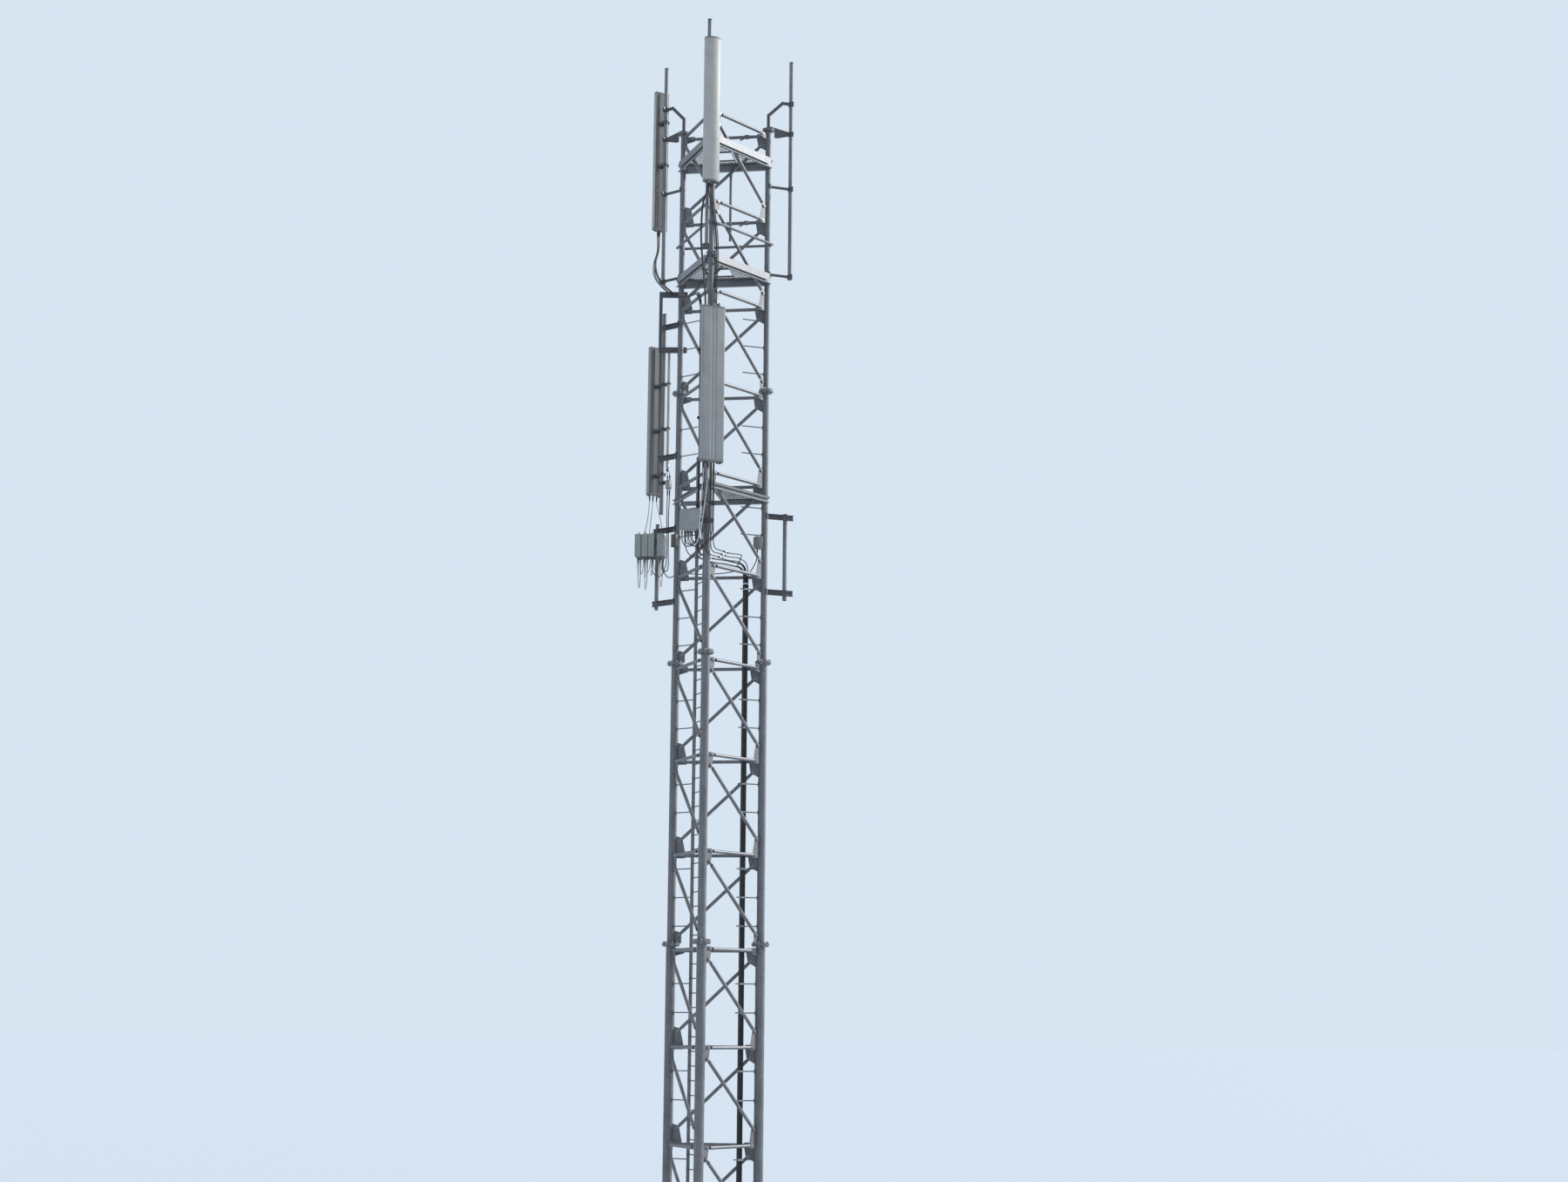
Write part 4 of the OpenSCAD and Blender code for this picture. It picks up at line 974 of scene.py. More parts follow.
SLIM_R = 0.029
SLIM_Z = 13.68
SLIM_LENGTH = 2.22
slim_case = stepped_drum("slim_case", [
    (0.048, SLIM_R - 0.003), (0.052, SLIM_R - 0.003), (0.054, SLIM_R - 0.001),
    (SLIM_LENGTH - 0.046, SLIM_R - 0.001), (SLIM_LENGTH - 0.044, SLIM_R - 0.003),
], FINISHES["antenna_case"], 40)
slim_cap = stepped_drum("slim_cap", [
    (SLIM_LENGTH - 0.042, SLIM_R), (SLIM_LENGTH - 0.010, SLIM_R), (SLIM_LENGTH - 0.003, SLIM_R - 0.006),
    (SLIM_LENGTH, SLIM_R - 0.014),
], case_shadow, 40)
slim_collar = stepped_drum("slim_collar", [
    (0.0, SLIM_R - 0.002), (0.004, SLIM_R - 0.002), (0.006, SLIM_R), (0.030, SLIM_R),
    (0.033, SLIM_R - 0.002), (0.050, SLIM_R - 0.002),
], bright_zinc, 40)
slim_radome = join("slim_radome", [slim_case, slim_cap, slim_collar])
slim_radome.data.transform(shift(SLIM.x, SLIM.y, SLIM_Z))
finish_piece(slim_radome, "antenna_case", "antenna_slim_left")

# %% [markdown]
# ## Antenna backs
# Behind the radome runs a stiff spine: two folded rails that carry the case and take the brackets. Each
# rail is a long block whose back is inset and pushed in, which leaves a channel with two thin lips.


# %% Spine rails
RAIL_DEEP = 0.014
RAIL_HALF = 0.018
RAIL_SHORT = 0.02


def spine_rail(name, length, offset):
    """Folded rail on an antenna's back, with a channel along it."""
    low = (-RAIL_DEEP, offset - RAIL_HALF, CAP + RAIL_SHORT)
    rail = block(name, low, (0.0005, offset + RAIL_HALF, length - CAP - RAIL_SHORT))
    edit(rail)
    inset_and_move(rail, lambda middle, normal: normal.x < -0.9, 0.004, (0.010, 0, 0))
    rest_hands()
    soften(rail, 0.0008, 1)
    return rail


rails = []
antenna_backs = (
    (UPPER_FRONT, UPPER_LENGTH, 0.088, ANT_GAP),
    (UPPER_LEFT, UPPER_LENGTH, 0.088, ANT_GAP),
    (LOWER_FRONT, LOWER_LENGTH, 0.140, ANT_GAP),
    (LOWER_LEFT, LOWER_LENGTH, 0.085, LEFT_GAP),
)
for place, length, spread, gap in antenna_backs:
    for offset in (-spread, spread):
        rail = spine_rail("rail", length, offset)
        rail.data.transform(place @ shift(POLE_R + gap, 0, 0))
        rails.append(rail)
antenna_rails = paint(join("antenna_rails", rails), FINISHES["galvanised_pole"])
finish_piece(antenna_rails, "antenna_case")

# %% [markdown]
# ## Antenna brackets
# A bracket grips the pole between two jaws drawn together by long threaded rods. A U-shaped arm reaches
# from the front jaw to a plate on the antenna's back, and one cross bolt lets the antenna tilt. One
# function builds it for a gap, with the pole's axis at the origin and the antenna towards +X: a short one
# is copied to six places, and a longer one to the three on the lower left pole, whose antenna stands
# further out.

# %% The antenna bracket
JAW_H = 0.060
JAW_T = 0.007
JAW_SPLIT = 0.006
ROD_Y = 0.062
ROD_Z = 0.016
CHEEK_Y = 0.030
PIVOT_IN = 0.036
PIVOT_REACH = 0.034
PLATE_BOLT_Y = 0.078


def jaw(side, tube_radius=POLE_R, height=JAW_H, ear=0.076):
    """Half of a clamp: an arc round the pole with flat ears. Its side is 1 towards the antenna."""
    inner = tube_radius + CLEARANCE
    arc = drum("jaw", inner + JAW_T, -height / 2, height / 2, sides=32)
    bisected(arc, (side * JAW_SPLIT, 0, 0), (-side, 0, 0))
    bore = drum("bore", inner, -height, height, sides=32)
    ears = block("ears", (JAW_SPLIT, -ear, -height / 2), (JAW_SPLIT + JAW_T, ear, height / 2))
    ears.data.transform(turned(0 if side > 0 else 180))
    for piece in (arc, ears):
        modify(piece, "BOOLEAN", operation="DIFFERENCE", object=bore)
    bpy.data.objects.remove(bore)
    soften(ears, 0.0015, 1)
    return [paint(arc, bracket_zinc), paint(ears, bracket_zinc)]


def antenna_bracket(name, gap):
    """Bracket for an antenna whose back lies a gap away from its pole."""
    back = POLE_R + gap
    parts = jaw(1) + jaw(-1)
    for y in (-ROD_Y, ROD_Y):
        for z in (-ROD_Z, ROD_Z):
            rod = bolt_at("jaw_rod", 0.018, 0.036, (-0.018, y, z), (1, 0, 0))
            shank = drum("jaw_shank", 0.0055, -0.020, 0.075, sides=10, axis="X", at=(y, z))
            parts += [rod, paint(shank, bright_zinc)]
    for y in (-CHEEK_Y, CHEEK_Y):
        cheek = block("cheek", (0.036, y - 0.003, -0.026), (back - 0.006, y + 0.003, 0.026))
        edit(cheek)
        round_edges(cheek, 0.008, 3, lambda a, b: abs(a.y - b.y) > 0.004)
        rest_hands()
        parts.append(paint(cheek, bracket_zinc))
    plate_low = (back - 0.008, -0.100, -0.038)
    plate_high = (back - 0.0005, 0.100, 0.038)
    parts.append(soft_block("back_plate", plate_low, plate_high, 0.003, 2, bracket_zinc))
    pivot_x = back - PIVOT_IN
    pivot = bolt_at("pivot", 0.019, 2 * PIVOT_REACH, (pivot_x, -PIVOT_REACH, 0), (0, 1, 0))
    pivot_shank = drum("pivot_shank", 0.006, -PIVOT_REACH, PIVOT_REACH, sides=10, axis="Y", at=(pivot_x, 0))
    parts += [pivot, paint(pivot_shank, bright_zinc)]
    for y in (-PLATE_BOLT_Y, PLATE_BOLT_Y):
        parts.append(bolt_at("plate_bolt", 0.016, 0.004, (back - 0.008, y, 0), (1, 0, 0)))
    return join(name, parts)


def bracket_places(rows):
    """Frames on the poles, from rows of an antenna's frame and steps up the antenna."""
    return [place @ shift(0, 0, step) for place, steps in rows for step in steps]


short_bracket = antenna_bracket("short_bracket", ANT_GAP)
long_bracket = antenna_bracket("long_bracket", LEFT_GAP)
print("a bracket has", len(short_bracket.data.polygons), "faces")

# %% [markdown]
# The slim antenna hangs on two small arms from the same pole. Each arm is a flat bar, welded to a foot on a
# jaw of a long bracket. It ends in a smaller pair of jaws, so the same jaw function serves again.

# %% Place the antenna brackets
SLIM_OFF = 0.130
JAW_OUT = POLE_R + CLEARANCE + JAW_T
bar_low = (JAW_OUT + 0.004, -0.004, -0.020)
bar_high = (SLIM_OFF - SLIM_R - 0.006, 0.004, 0.020)
foot_low = (JAW_OUT - 0.003, -0.024, -0.022)
foot_high = (JAW_OUT + 0.006, 0.024, 0.022)
slim_arm = [
    soft_block("slim_bar", bar_low, bar_high, 0.001, 1, bracket_zinc),
    soft_block("slim_foot", foot_low, foot_high, 0.003, 2, bracket_zinc),
]
for half in jaw(1, SLIM_R, 0.036, 0.048) + jaw(-1, SLIM_R, 0.036, 0.048):
    half.data.transform(shift(SLIM_OFF, 0, 0))
    slim_arm.append(half)
for y in (-0.040, 0.040):
    slim_bolt = bolt_at("slim_bolt", 0.013, 0.026, (SLIM_OFF - 0.013, y, 0), (1, 0, 0))
    slim_shank = drum("slim_shank", 0.004, SLIM_OFF - 0.012, SLIM_OFF + 0.012, sides=8, axis="X", at=(y, 0))
    slim_arm += [slim_bolt, paint(slim_shank, bright_zinc)]
slim_template = join("slim_arm", slim_arm)
SLIM_STEPS = (1.20, 2.05)
SHORT_ROWS = [(UPPER_FRONT, (0.70, 2.08)), (UPPER_LEFT, (1.24, 2.08)), (LOWER_FRONT, (0.35, 2.55))]
LONG_ROWS = [(LOWER_LEFT, (0.35, *SLIM_STEPS))]
SLIM_ROWS = [(on_pole(LEFT_LOW, LOWER_LEFT_Z, SLIM_LOOK), SLIM_STEPS)]
antenna_clamps = join("antenna_clamps", [
    copies("short_brackets", short_bracket, bracket_places(SHORT_ROWS)),
    copies("long_brackets", long_bracket, bracket_places(LONG_ROWS)),
    copies("slim_arms", slim_template, bracket_places(SLIM_ROWS)),
])
finish_piece(antenna_clamps, "galvanised_bracket", "antenna_brackets")

# %% [markdown]
# ## Radio units
# The radio units hang in a row on the left: die-cast cases, narrow and deep, whose sides are all cooling
# fins. A unit starts as a block. Its sides are cut into strips by bisects, every second strip is pulled in
# to leave the fins, and the front gets a moulded cover with a handle above. One unit is built and copied
# four times.

# %% One radio unit
RADIO_HALF_W = 0.056
RADIO_L = 0.300
RADIO_H = 0.420
FIN_PITCH = 0.0125
core = block("radio_core", (-RADIO_HALF_W, 0.014, 0.008), (RADIO_HALF_W, RADIO_L, RADIO_H - 0.010))
edit(core)
fin_lines = [0.034 + n * FIN_PITCH for n in range(21)]
for line in fin_lines:
    slice_across(line)


def is_valley(middle, normal):
    """True for the strips between the fins, on both sides."""
    step = (middle.y - fin_lines[0]) / FIN_PITCH
    return abs(normal.x) > 0.9 and 0 < step < 20 and int(step) % 2 == 0


for side in (-1, 1):
    pick_faces(core, lambda middle, normal: is_valley(middle, normal) and normal.x * side > 0)
    extrude(-side * 0.017, 0, 0)
rest_hands()
paint(core, radio_case)

cover = block("radio_cover", (-RADIO_HALF_W, 0.0, 0.0), (RADIO_HALF_W, 0.016, RADIO_H - 0.004))
edit(cover)
round_edges(cover, 0.014, 4, lambda a, b: abs(a.y - b.y) > 0.01)
inset_and_move(cover, lambda middle, normal: normal.y < -0.9, 0.010, (0, 0.003, 0))
rest_hands()
soften(cover, 0.002, 2)
paint(cover, radio_case)

lid_low = (-RADIO_HALF_W + 0.006, 0.016, RADIO_H - 0.010)
lid_high = (RADIO_HALF_W - 0.006, RADIO_L - 0.01, RADIO_H)
top_lid = soft_block("radio_lid", lid_low, lid_high, 0.003, 2, radio_case)
tray_low = (-RADIO_HALF_W + 0.008, 0.018, 0.0)
tray_high = (RADIO_HALF_W - 0.008, RADIO_L - 0.012, 0.008)
floor_tray = soft_block("radio_floor", tray_low, tray_high, 0.003, 2, case_shadow)
print("radio core has", len(core.data.polygons), "faces")

# %% [markdown]
# The handle over a unit is a bar bent twice. A curve of straight runs gives its line, the curve's own bevel
# depth gives it a round section, and converting it to a mesh makes it a piece like the others.


# %% Handles and ports of a radio unit
def mesh_from(name, line):
    """Turns a curve with a bevel into a piece with a mesh."""
    made = bpy.data.objects.new(name, line)
    bpy.context.scene.collection.objects.link(made)
    hold(made)
    bpy.ops.object.convert(target="MESH")
    return made


def bent_bar(name, points, radius, sides=10):
    """Round bar along straight runs, made from a curve and turned into a mesh."""
    line = bpy.data.curves.new(name, "CURVE")
    line.dimensions = "3D"
    run = line.splines.new("POLY")
    run.points.add(len(points) - 1)
    for place, point in zip(run.points, points):
        place.co = (*point, 1.0)
    line.bevel_depth = radius
    line.bevel_resolution = max(0, sides // 4 - 1)
    line.use_fill_caps = True
    bar = mesh_from(name, line)
    smooth(bar, 50)
    return bar


PORT_R = 0.013
PORT_X = 0.026
PORT_YS = (0.07, 0.13, 0.22, 0.26)
HANDLE_R = 0.0065
HANDLE_SIDE = ((0.06, -0.012), (0.06, 0.030), (0.07, 0.038), (0.21, 0.038), (0.22, 0.030), (0.22, -0.012))
handle = bent_bar("radio_handle", [(0, y, RADIO_H + z) for y, z in HANDLE_SIDE], HANDLE_R)
paint(handle, case_shadow)
ports = []
for n, y in enumerate(PORT_YS):
    for x in (-PORT_X, PORT_X):
        port = drum("port", PORT_R, -0.014, 0.004, sides=12, at=(x, y))
        edit(port)
        pick_faces(port, lambda middle, normal: normal.z < -0.9)
        bpy.ops.mesh.inset(thickness=0.003)
        extrude(0, 0, -0.010)
        rest_hands()
        ports.append(paint(port, nickel if n % 2 else boot_rubber))
unit = join("radio_unit", [core, cover, top_lid, floor_tray, handle] + ports)
print("one radio unit has", len(unit.data.polygons), "faces")

# %% Hang the radio units on their rail
RADIO_Z = 11.97
RADIO_XS = (-0.290, -0.165, -0.045, 0.120)
back_y = RADIO_POLE.y - POLE_R - 0.0003 - 0.040
unit_places = [shift(RADIO_POLE.x + x, back_y - RADIO_L, RADIO_Z) for x in RADIO_XS]
units = copies("radio_row", unit, unit_places)
left_end = RADIO_POLE.x + RADIO_XS[0] - RADIO_HALF_W
right_end = RADIO_POLE.x + RADIO_XS[3] + RADIO_HALF_W
rail = block("radio_rail", (left_end, back_y, RADIO_Z + 0.300), (right_end, back_y + 0.020, RADIO_Z + 0.350))
edit(rail)
inset_and_move(rail, lambda middle, normal: normal.y > 0.9, 0.006, (0, -0.014, 0))
rest_hands()
soften(rail, 0.0015, 2)
paint(rail, bracket_zinc)
shoe_low = (RADIO_POLE.x - 0.045, back_y + 0.018, RADIO_Z + 0.275)
shoe_high = (RADIO_POLE.x + 0.045, back_y + 0.0405, RADIO_Z + 0.375)
shoe = soft_block("rail_shoe", shoe_low, shoe_high, 0.004, 2, bracket_zinc)
radio_row = join("radio_row", [units, rail, shoe])
finish_piece(radio_row, "radio_case", "radio_units")

# %% [markdown]
# ## Box radio on the front leg
# A squarer radio hangs on a strap beside the front leg. Its moulded front is raised and has a shallow square
# recess. A groove runs round the case where the cover meets the die-cast back, which has cooling fins.

# %% Box radio
BOX_W = 0.365
BOX_T = 0.130
BOX_Z = 12.150
BOX_RIM = 0.006
BOX_FINS = 24
BOX_PITCH = (BOX_W - 2 * BOX_RIM) / BOX_FINS
BOX_SCREW_IN = 0.025
box_place = at_leg("front", BOX_Z) @ shift(0.060, -0.100 - BOX_W, 0.0)
back_case = block("box_back", (0.0, BOX_RIM, BOX_RIM), (0.062, BOX_W - BOX_RIM, BOX_W - BOX_RIM))
edit(back_case)
for n in range(1, BOX_FINS):
    slice_across(BOX_RIM + n * BOX_PITCH)
pick_faces(back_case, lambda middle, normal: normal.x < -0.9 and int(middle.y / BOX_PITCH - 0.4) % 2 == 0)
extrude(0.030, 0, 0)
rest_hands()
paint(back_case, radio_case)
front_case = block("box_front", (0.066, 0.0, 0.0), (BOX_T - 0.006, BOX_W, BOX_W))
edit(front_case)
round_edges(front_case, 0.022, 5, lambda a, b: abs(a.x - b.x) > 0.03)
inset_and_move(front_case, lambda middle, normal: normal.x > 0.9, 0.012, (0.006, 0, 0))
front_middle = (BOX_T, BOX_W / 2, BOX_W / 2)
bpy.ops.mesh.extrude_region_move()
bpy.ops.transform.resize(value=(1, 0.72, 0.72), center_override=front_middle)
extrude(-0.002, 0, 0)
bpy.ops.transform.resize(value=(1, 0.98, 0.98), center_override=front_middle)
rest_hands()
soften(front_case, 0.002, 2)
paint(front_case, radio_case)
waist = block("box_waist", (0.058, 0.010, 0.010), (0.070, BOX_W - 0.010, BOX_W - 0.010))
paint(waist, boot_rubber)
box_parts = [back_case, front_case, waist]
for y in (BOX_SCREW_IN, BOX_W - BOX_SCREW_IN):
    for z in (BOX_SCREW_IN, BOX_W - BOX_SCREW_IN):
        screw = drum("cover_screw", 0.0065, 0.122, 0.1325, sides=12, axis="X", at=(y, z))
        edit(screw)
        inset_and_move(screw, lambda middle, normal: normal.x > 0.9, 0.0025, (-0.003, 0, 0))
        rest_hands()
        box_parts.append(paint(screw, nickel))
box_radio = join("box_radio", box_parts)
box_radio.data.transform(box_place)
print("box radio has", len(box_radio.data.polygons), "faces")

# %% [markdown]
# The strap that holds the box is a flat bar behind it, welded to a two-part band round the leg. Small plain
# boxes sit on the other two legs, and a filter box hangs under the slim antenna. One function shapes all
# three: a block with rounded upright edges, a lid that stands proud of its front, and a shallow recess in
# its underside.

# %% Strap and leg band
LEG3 = LEG_RADII[2]


def open_ring(name, radius, thick, height):
    """Ring round a tube: both ends of a drum are inset and deleted, and the two holes are bridged."""
    ring = drum(name, radius + CLEARANCE + thick, -height / 2, height / 2, sides=48)
    edit(ring)
    pick_faces(ring, lambda middle, normal: abs(normal.z) > 0.9)
    bpy.ops.mesh.inset(thickness=thick)
    bpy.ops.mesh.delete(type="FACE")
    near = radius + CLEARANCE + thick / 2
    pick_edges(ring, lambda a, b: math.hypot(a.x, a.y) < near and math.hypot(b.x, b.y) < near)
    bpy.ops.mesh.bridge_edge_loops()
    bpy.ops.mesh.select_all(action="SELECT")
    bpy.ops.mesh.normals_make_consistent(inside=False)
    rest_hands()
    return ring


def leg_band(name, radius, thick, height):
    """Two-part band round a tube, with a pair of bolted ears on each side."""
    parts = [paint(open_ring(name, radius, thick, height), bracket_zinc)]
    for side in (-1, 1):
        start = radius + thick * 0.6
        ears = block("ears", (-0.012, start, -height / 2), (0.012, start + 0.036, height / 2))
        ears.data.transform(turned(0 if side > 0 else 180))
        soften(ears, 0.003, 2)
        parts.append(paint(ears, bracket_zinc))
        for z in (-height * 0.28, height * 0.28):
            parts.append(bolt_at("band_bolt", 0.019, 0.024, (-0.012, side * (start + 0.022), z), (1, 0, 0)))
    return join(name, parts)


strap_band = leg_band("strap_band", LEG3, 0.010, 0.080)
strap_band.data.transform(at_leg("front", BOX_Z + BOX_W / 2))
strap = block("strap", (0.052, -0.100 - BOX_W / 2, 0.1425), (0.061, -0.028, 0.2225))
edit(strap)
inset_and_move(strap, lambda middle, normal: normal.x > 0.9, 0.012, (-0.002, 0, 0))
rest_hands()
strap.data.transform(at_leg("front", BOX_Z))
paint(strap, bracket_zinc)


# %% Small boxes on the other legs
def small_box(name, low, high, lid, finish):
    """Small case whose lid stands proud in the direction given by lid."""
    case = block(name, low, high)
    edit(case)
    round_edges(case, 0.010, 3, lambda a, b: abs(a.z - b.z) > 0.1)
    pick_faces(case, lambda middle, normal: normal.dot(Vector(lid)) > 0.9)
    bpy.ops.mesh.inset(thickness=0.007)
    bpy.ops.mesh.extrude_region_move(TRANSFORM_OT_translate={"value": Vector(lid) * 0.006})
    inset_and_move(case, lambda middle, normal: normal.z < -0.9, 0.012, (0, 0, 0.004))
    rest_hands()
    soften(case, 0.0018, 2)
    return paint(case, finish)


JUNCTION_Z = 12.060
LEFT_BOX_Z = 12.125
right_low = (-LEG3 - 0.0003 - 0.144, -0.110, 0.0)
right_high = (-LEG3 - 0.0123, 0.030, 0.215)
right_case = small_box("right_case", right_low, right_high, (-1, 0, 0), case_shadow)
foot_low = (right_high[0] - 0.002, -0.075, 0.060)
right_foot = soft_block("right_foot", foot_low, (-LEG3 - 0.0003, 0.0, 0.155), 0.003, 2, bracket_zinc)
junction = join("junction", [right_case, right_foot])
junction.data.transform(at_leg("right", JUNCTION_Z))

left_low = (-0.075, LEG3 + 0.0103, 0.0)
left_high = (0.035, LEG3 + 0.0843, 0.230)
left_case = small_box("left_case", left_low, left_high, (0, 1, 0), dark_case)
foot_low = (-0.040, LEG3 + 0.0003, 0.060)
left_foot = soft_block("left_foot", foot_low, (0.015, LEG3 + 0.012, 0.170), 0.002, 2, bracket_zinc)
left_parts = [left_case, left_foot]
for z in (0.060, 0.165):
    left_tie = open_ring("left_tie", LEG3, 0.0016, 0.014)
    left_tie.data.transform(shift(0, 0, z))
    left_parts.append(paint(left_tie, bright_zinc))
left_box = join("left_box", left_parts)
left_box.data.transform(at_leg("left", LEFT_BOX_Z))
print("small boxes have", len(junction.data.polygons) + len(left_box.data.polygons), "faces")

# %% Filter box under the slim antenna
FILTER_Z = 13.255
FILTER_H = 0.180
FILTER_NEAR = POLE_R + 0.075
filter_case = small_box(
    "filter_case", (FILTER_NEAR + 0.006, -0.0425, 0.012), (FILTER_NEAR + 0.094, 0.0425, FILTER_H - 0.008),
    (1, 0, 0), radio_case,
)
filter_parts = [filter_case]
bar_low = (POLE_R + 0.009, -0.004, 0.104)
bar_high = (FILTER_NEAR + 0.008, 0.004, 0.176)
filter_parts.append(soft_block("filter_bar", bar_low, bar_high, 0.001, 1, bracket_zinc))
for half in jaw(1, POLE_R, 0.060, 0.066) + jaw(-1, POLE_R, 0.060, 0.066):
    half.data.transform(shift(0, 0, 0.140))
    filter_parts.append(half)
for y in (-0.055, 0.055):
    filter_parts.append(bolt_at("filter_bolt", 0.016, 0.030, (-0.015, y, 0.140), (1, 0, 0)))
for x in (0.029, 0.072):
    for low, high in ((-0.001, 0.014), (FILTER_H - 0.010, FILTER_H)):
        filter_port = drum("filter_port", 0.014, low, high, sides=16, at=(FILTER_NEAR + x, 0.0))
        filter_parts.append(paint(filter_port, nickel))
filter_box = join("filter_box", filter_parts)
filter_box.data.transform(on_pole(LEFT_LOW, FILTER_Z, SLIM_LOOK))
radio_boxes = join("box_radios", [box_radio, strap_band, strap, junction, left_box, filter_box])
finish_piece(radio_boxes, "radio_case", "radio_boxes")

# %% [markdown]
# ## Jumper cables
# Jumpers run from the antennas and radios to the tops of the feeders. Each is clamped along the tower and
# held at both ends, so its route is fixed. The points below are the frame's own, in metres. A Bezier curve
# is led through them, with each handle a third of the way to the next point, along the mean direction.

# %% Routes of the jumpers
FEEDER_IN = 0.290
FEEDER_R = 0.014
FEEDER_PITCH = 0.0283
FEEDER_TOP = 11.380
BRACKET_R = 0.010
RUN_TOP = 11.830
RUN_STEP = 0.065


def feeder_x(m):
    """Distance of feeder column m from the right leg, into the tower."""
    return FEEDER_IN + FEEDER_R + m * FEEDER_PITCH


def feeder_y(n):
    """Distance of feeder row n from the middle of the brackets."""
    return BRACKET_R + FEEDER_R + 0.0003 + n * FEEDER_PITCH


def face_point(x, y, z):
    """Point from the right face's frame: x from the front leg, y into the tower."""
    return (x * 0.5 - y * math.sqrt(0.75), x * math.sqrt(0.75) + y * 0.5, z)


def run_in(m, n, lane):
    """Last part of a route: along the right face, over and down onto feeder m, n."""
    x = FACE - feeder_x(m) * math.cos(math.radians(30)) + feeder_y(n) * 0.5
    y = feeder_x(m) * 0.5 + feeder_y(n) * math.cos(math.radians(30))
    z = RUN_TOP - m * RUN_STEP
    steps = [(0.15, lane, z), (0.45, lane, z - 0.02), (x - 0.55, lane, z), (x - 0.37, (lane + y) / 2, z)]
    steps += [(x - 0.22, y, z), (x - 0.16, y, z), (x - 0.05, y, z - 0.05), (x, y, z - 0.17)]
    steps += [(x, y, FEEDER_TOP + 0.1), (x, y, FEEDER_TOP + 0.0003)]
    return [face_point(*step) for step in steps]


FRONT_ROUTES = [
    [(0.04, -0.64, 18.3397), (0.04, -0.64, 18.24), (-0.06, -0.57, 17.98), (-0.12, -0.4, 17.65),
     (-0.14, -0.27, 17.3), (-0.115, -0.19, 16.9), (-0.085, -0.148, 16.5), (-0.075, -0.132, 16.2),
     (-0.075, -0.132, 16.0), (-0.075, -0.132, 12.3), (-0.075, -0.132, 12.1), face_point(-0.146, -0.02, 11.93),
     face_point(-0.118, -0.065, 11.8), face_point(-0.05, -0.108, 11.715), face_point(0.05, -0.116, 11.702)]
    + run_in(2, 0, -0.115),
    [(0.11, -0.6, 18.3397), (0.11, -0.6, 18.24), (0.15, -0.42, 17.75), (0.175, -0.29, 17.3),
     (0.16, -0.2, 16.9), (0.13, -0.118, 16.5), (0.123, -0.097, 16.2), (0.123, -0.097, 16.0),
     (0.123, -0.097, 12.3), (0.123, -0.097, 12.1), face_point(-0.015, -0.153, 11.95),
     face_point(0.015, -0.146, 11.87),
     face_point(0.075, -0.128, 11.835)] + run_in(0, 0, -0.115),
    [(0.075, -0.56, 18.3397), (0.075, -0.56, 18.24), (0.11, -0.3, 17.65), (0.13, -0.19, 17.2),
     (0.11, -0.155, 16.8), (0.087, -0.136, 16.4), (0.083, -0.13, 16.15), (0.083, -0.13, 15.95),
     (0.083, -0.13, 12.25), (0.083, -0.13, 12.05), face_point(-0.065, -0.135, 11.89),
     face_point(-0.035, -0.13, 11.805), face_point(0.04, -0.12, 11.768)] + run_in(1, 0, -0.115),
]
LEFT_ROUTES = [
    [(-1.3069, 1.7476, 18.2497), (-1.3069, 1.7476, 18.15), (-1.31, 1.735, 17.9), (-1.34, 1.65, 17.6),
     (-1.288, 1.54, 17.35), (-1.153, 1.434, 17.12), (-1.017, 1.349, 16.98), (-0.86, 1.215, 16.83),
     (-0.71, 1.06, 16.76), (-0.43, 0.56, 16.64), (-0.24, 0.2, 16.54), (-0.185, 0.09, 16.35),
     (-0.172, 0.058, 16.05), (-0.172, 0.058, 15.85), (-0.172, 0.058, 12.3), (-0.172, 0.058, 12.1),
     face_point(-0.033, 0.18, 11.93), face_point(-0.008, 0.188, 11.83), face_point(0.06, 0.218, 11.772)]
    + run_in(1, 2, 0.238),
    [(-1.3092, 1.7836, 18.2497), (-1.3092, 1.7836, 18.15), (-1.315, 1.765, 17.87), (-1.361, 1.663, 17.56),
     (-1.318, 1.528, 17.3), (-1.175, 1.41, 17.08), (-1.04, 1.325, 16.94), (-0.885, 1.19, 16.79),
     (-0.735, 1.035, 16.72), (-0.455, 0.535, 16.6), (-0.25, 0.15, 16.49), (-0.175, 0.05, 16.3),
     (-0.157, 0.02, 16.0), (-0.157, 0.02, 15.8), (-0.157, 0.02, 12.28), (-0.157, 0.02, 12.08),
     face_point(-0.058, 0.148, 11.93), face_point(-0.035, 0.156, 11.83), face_point(0.035, 0.178, 11.772)]
    + run_in(1, 1, 0.212),
]
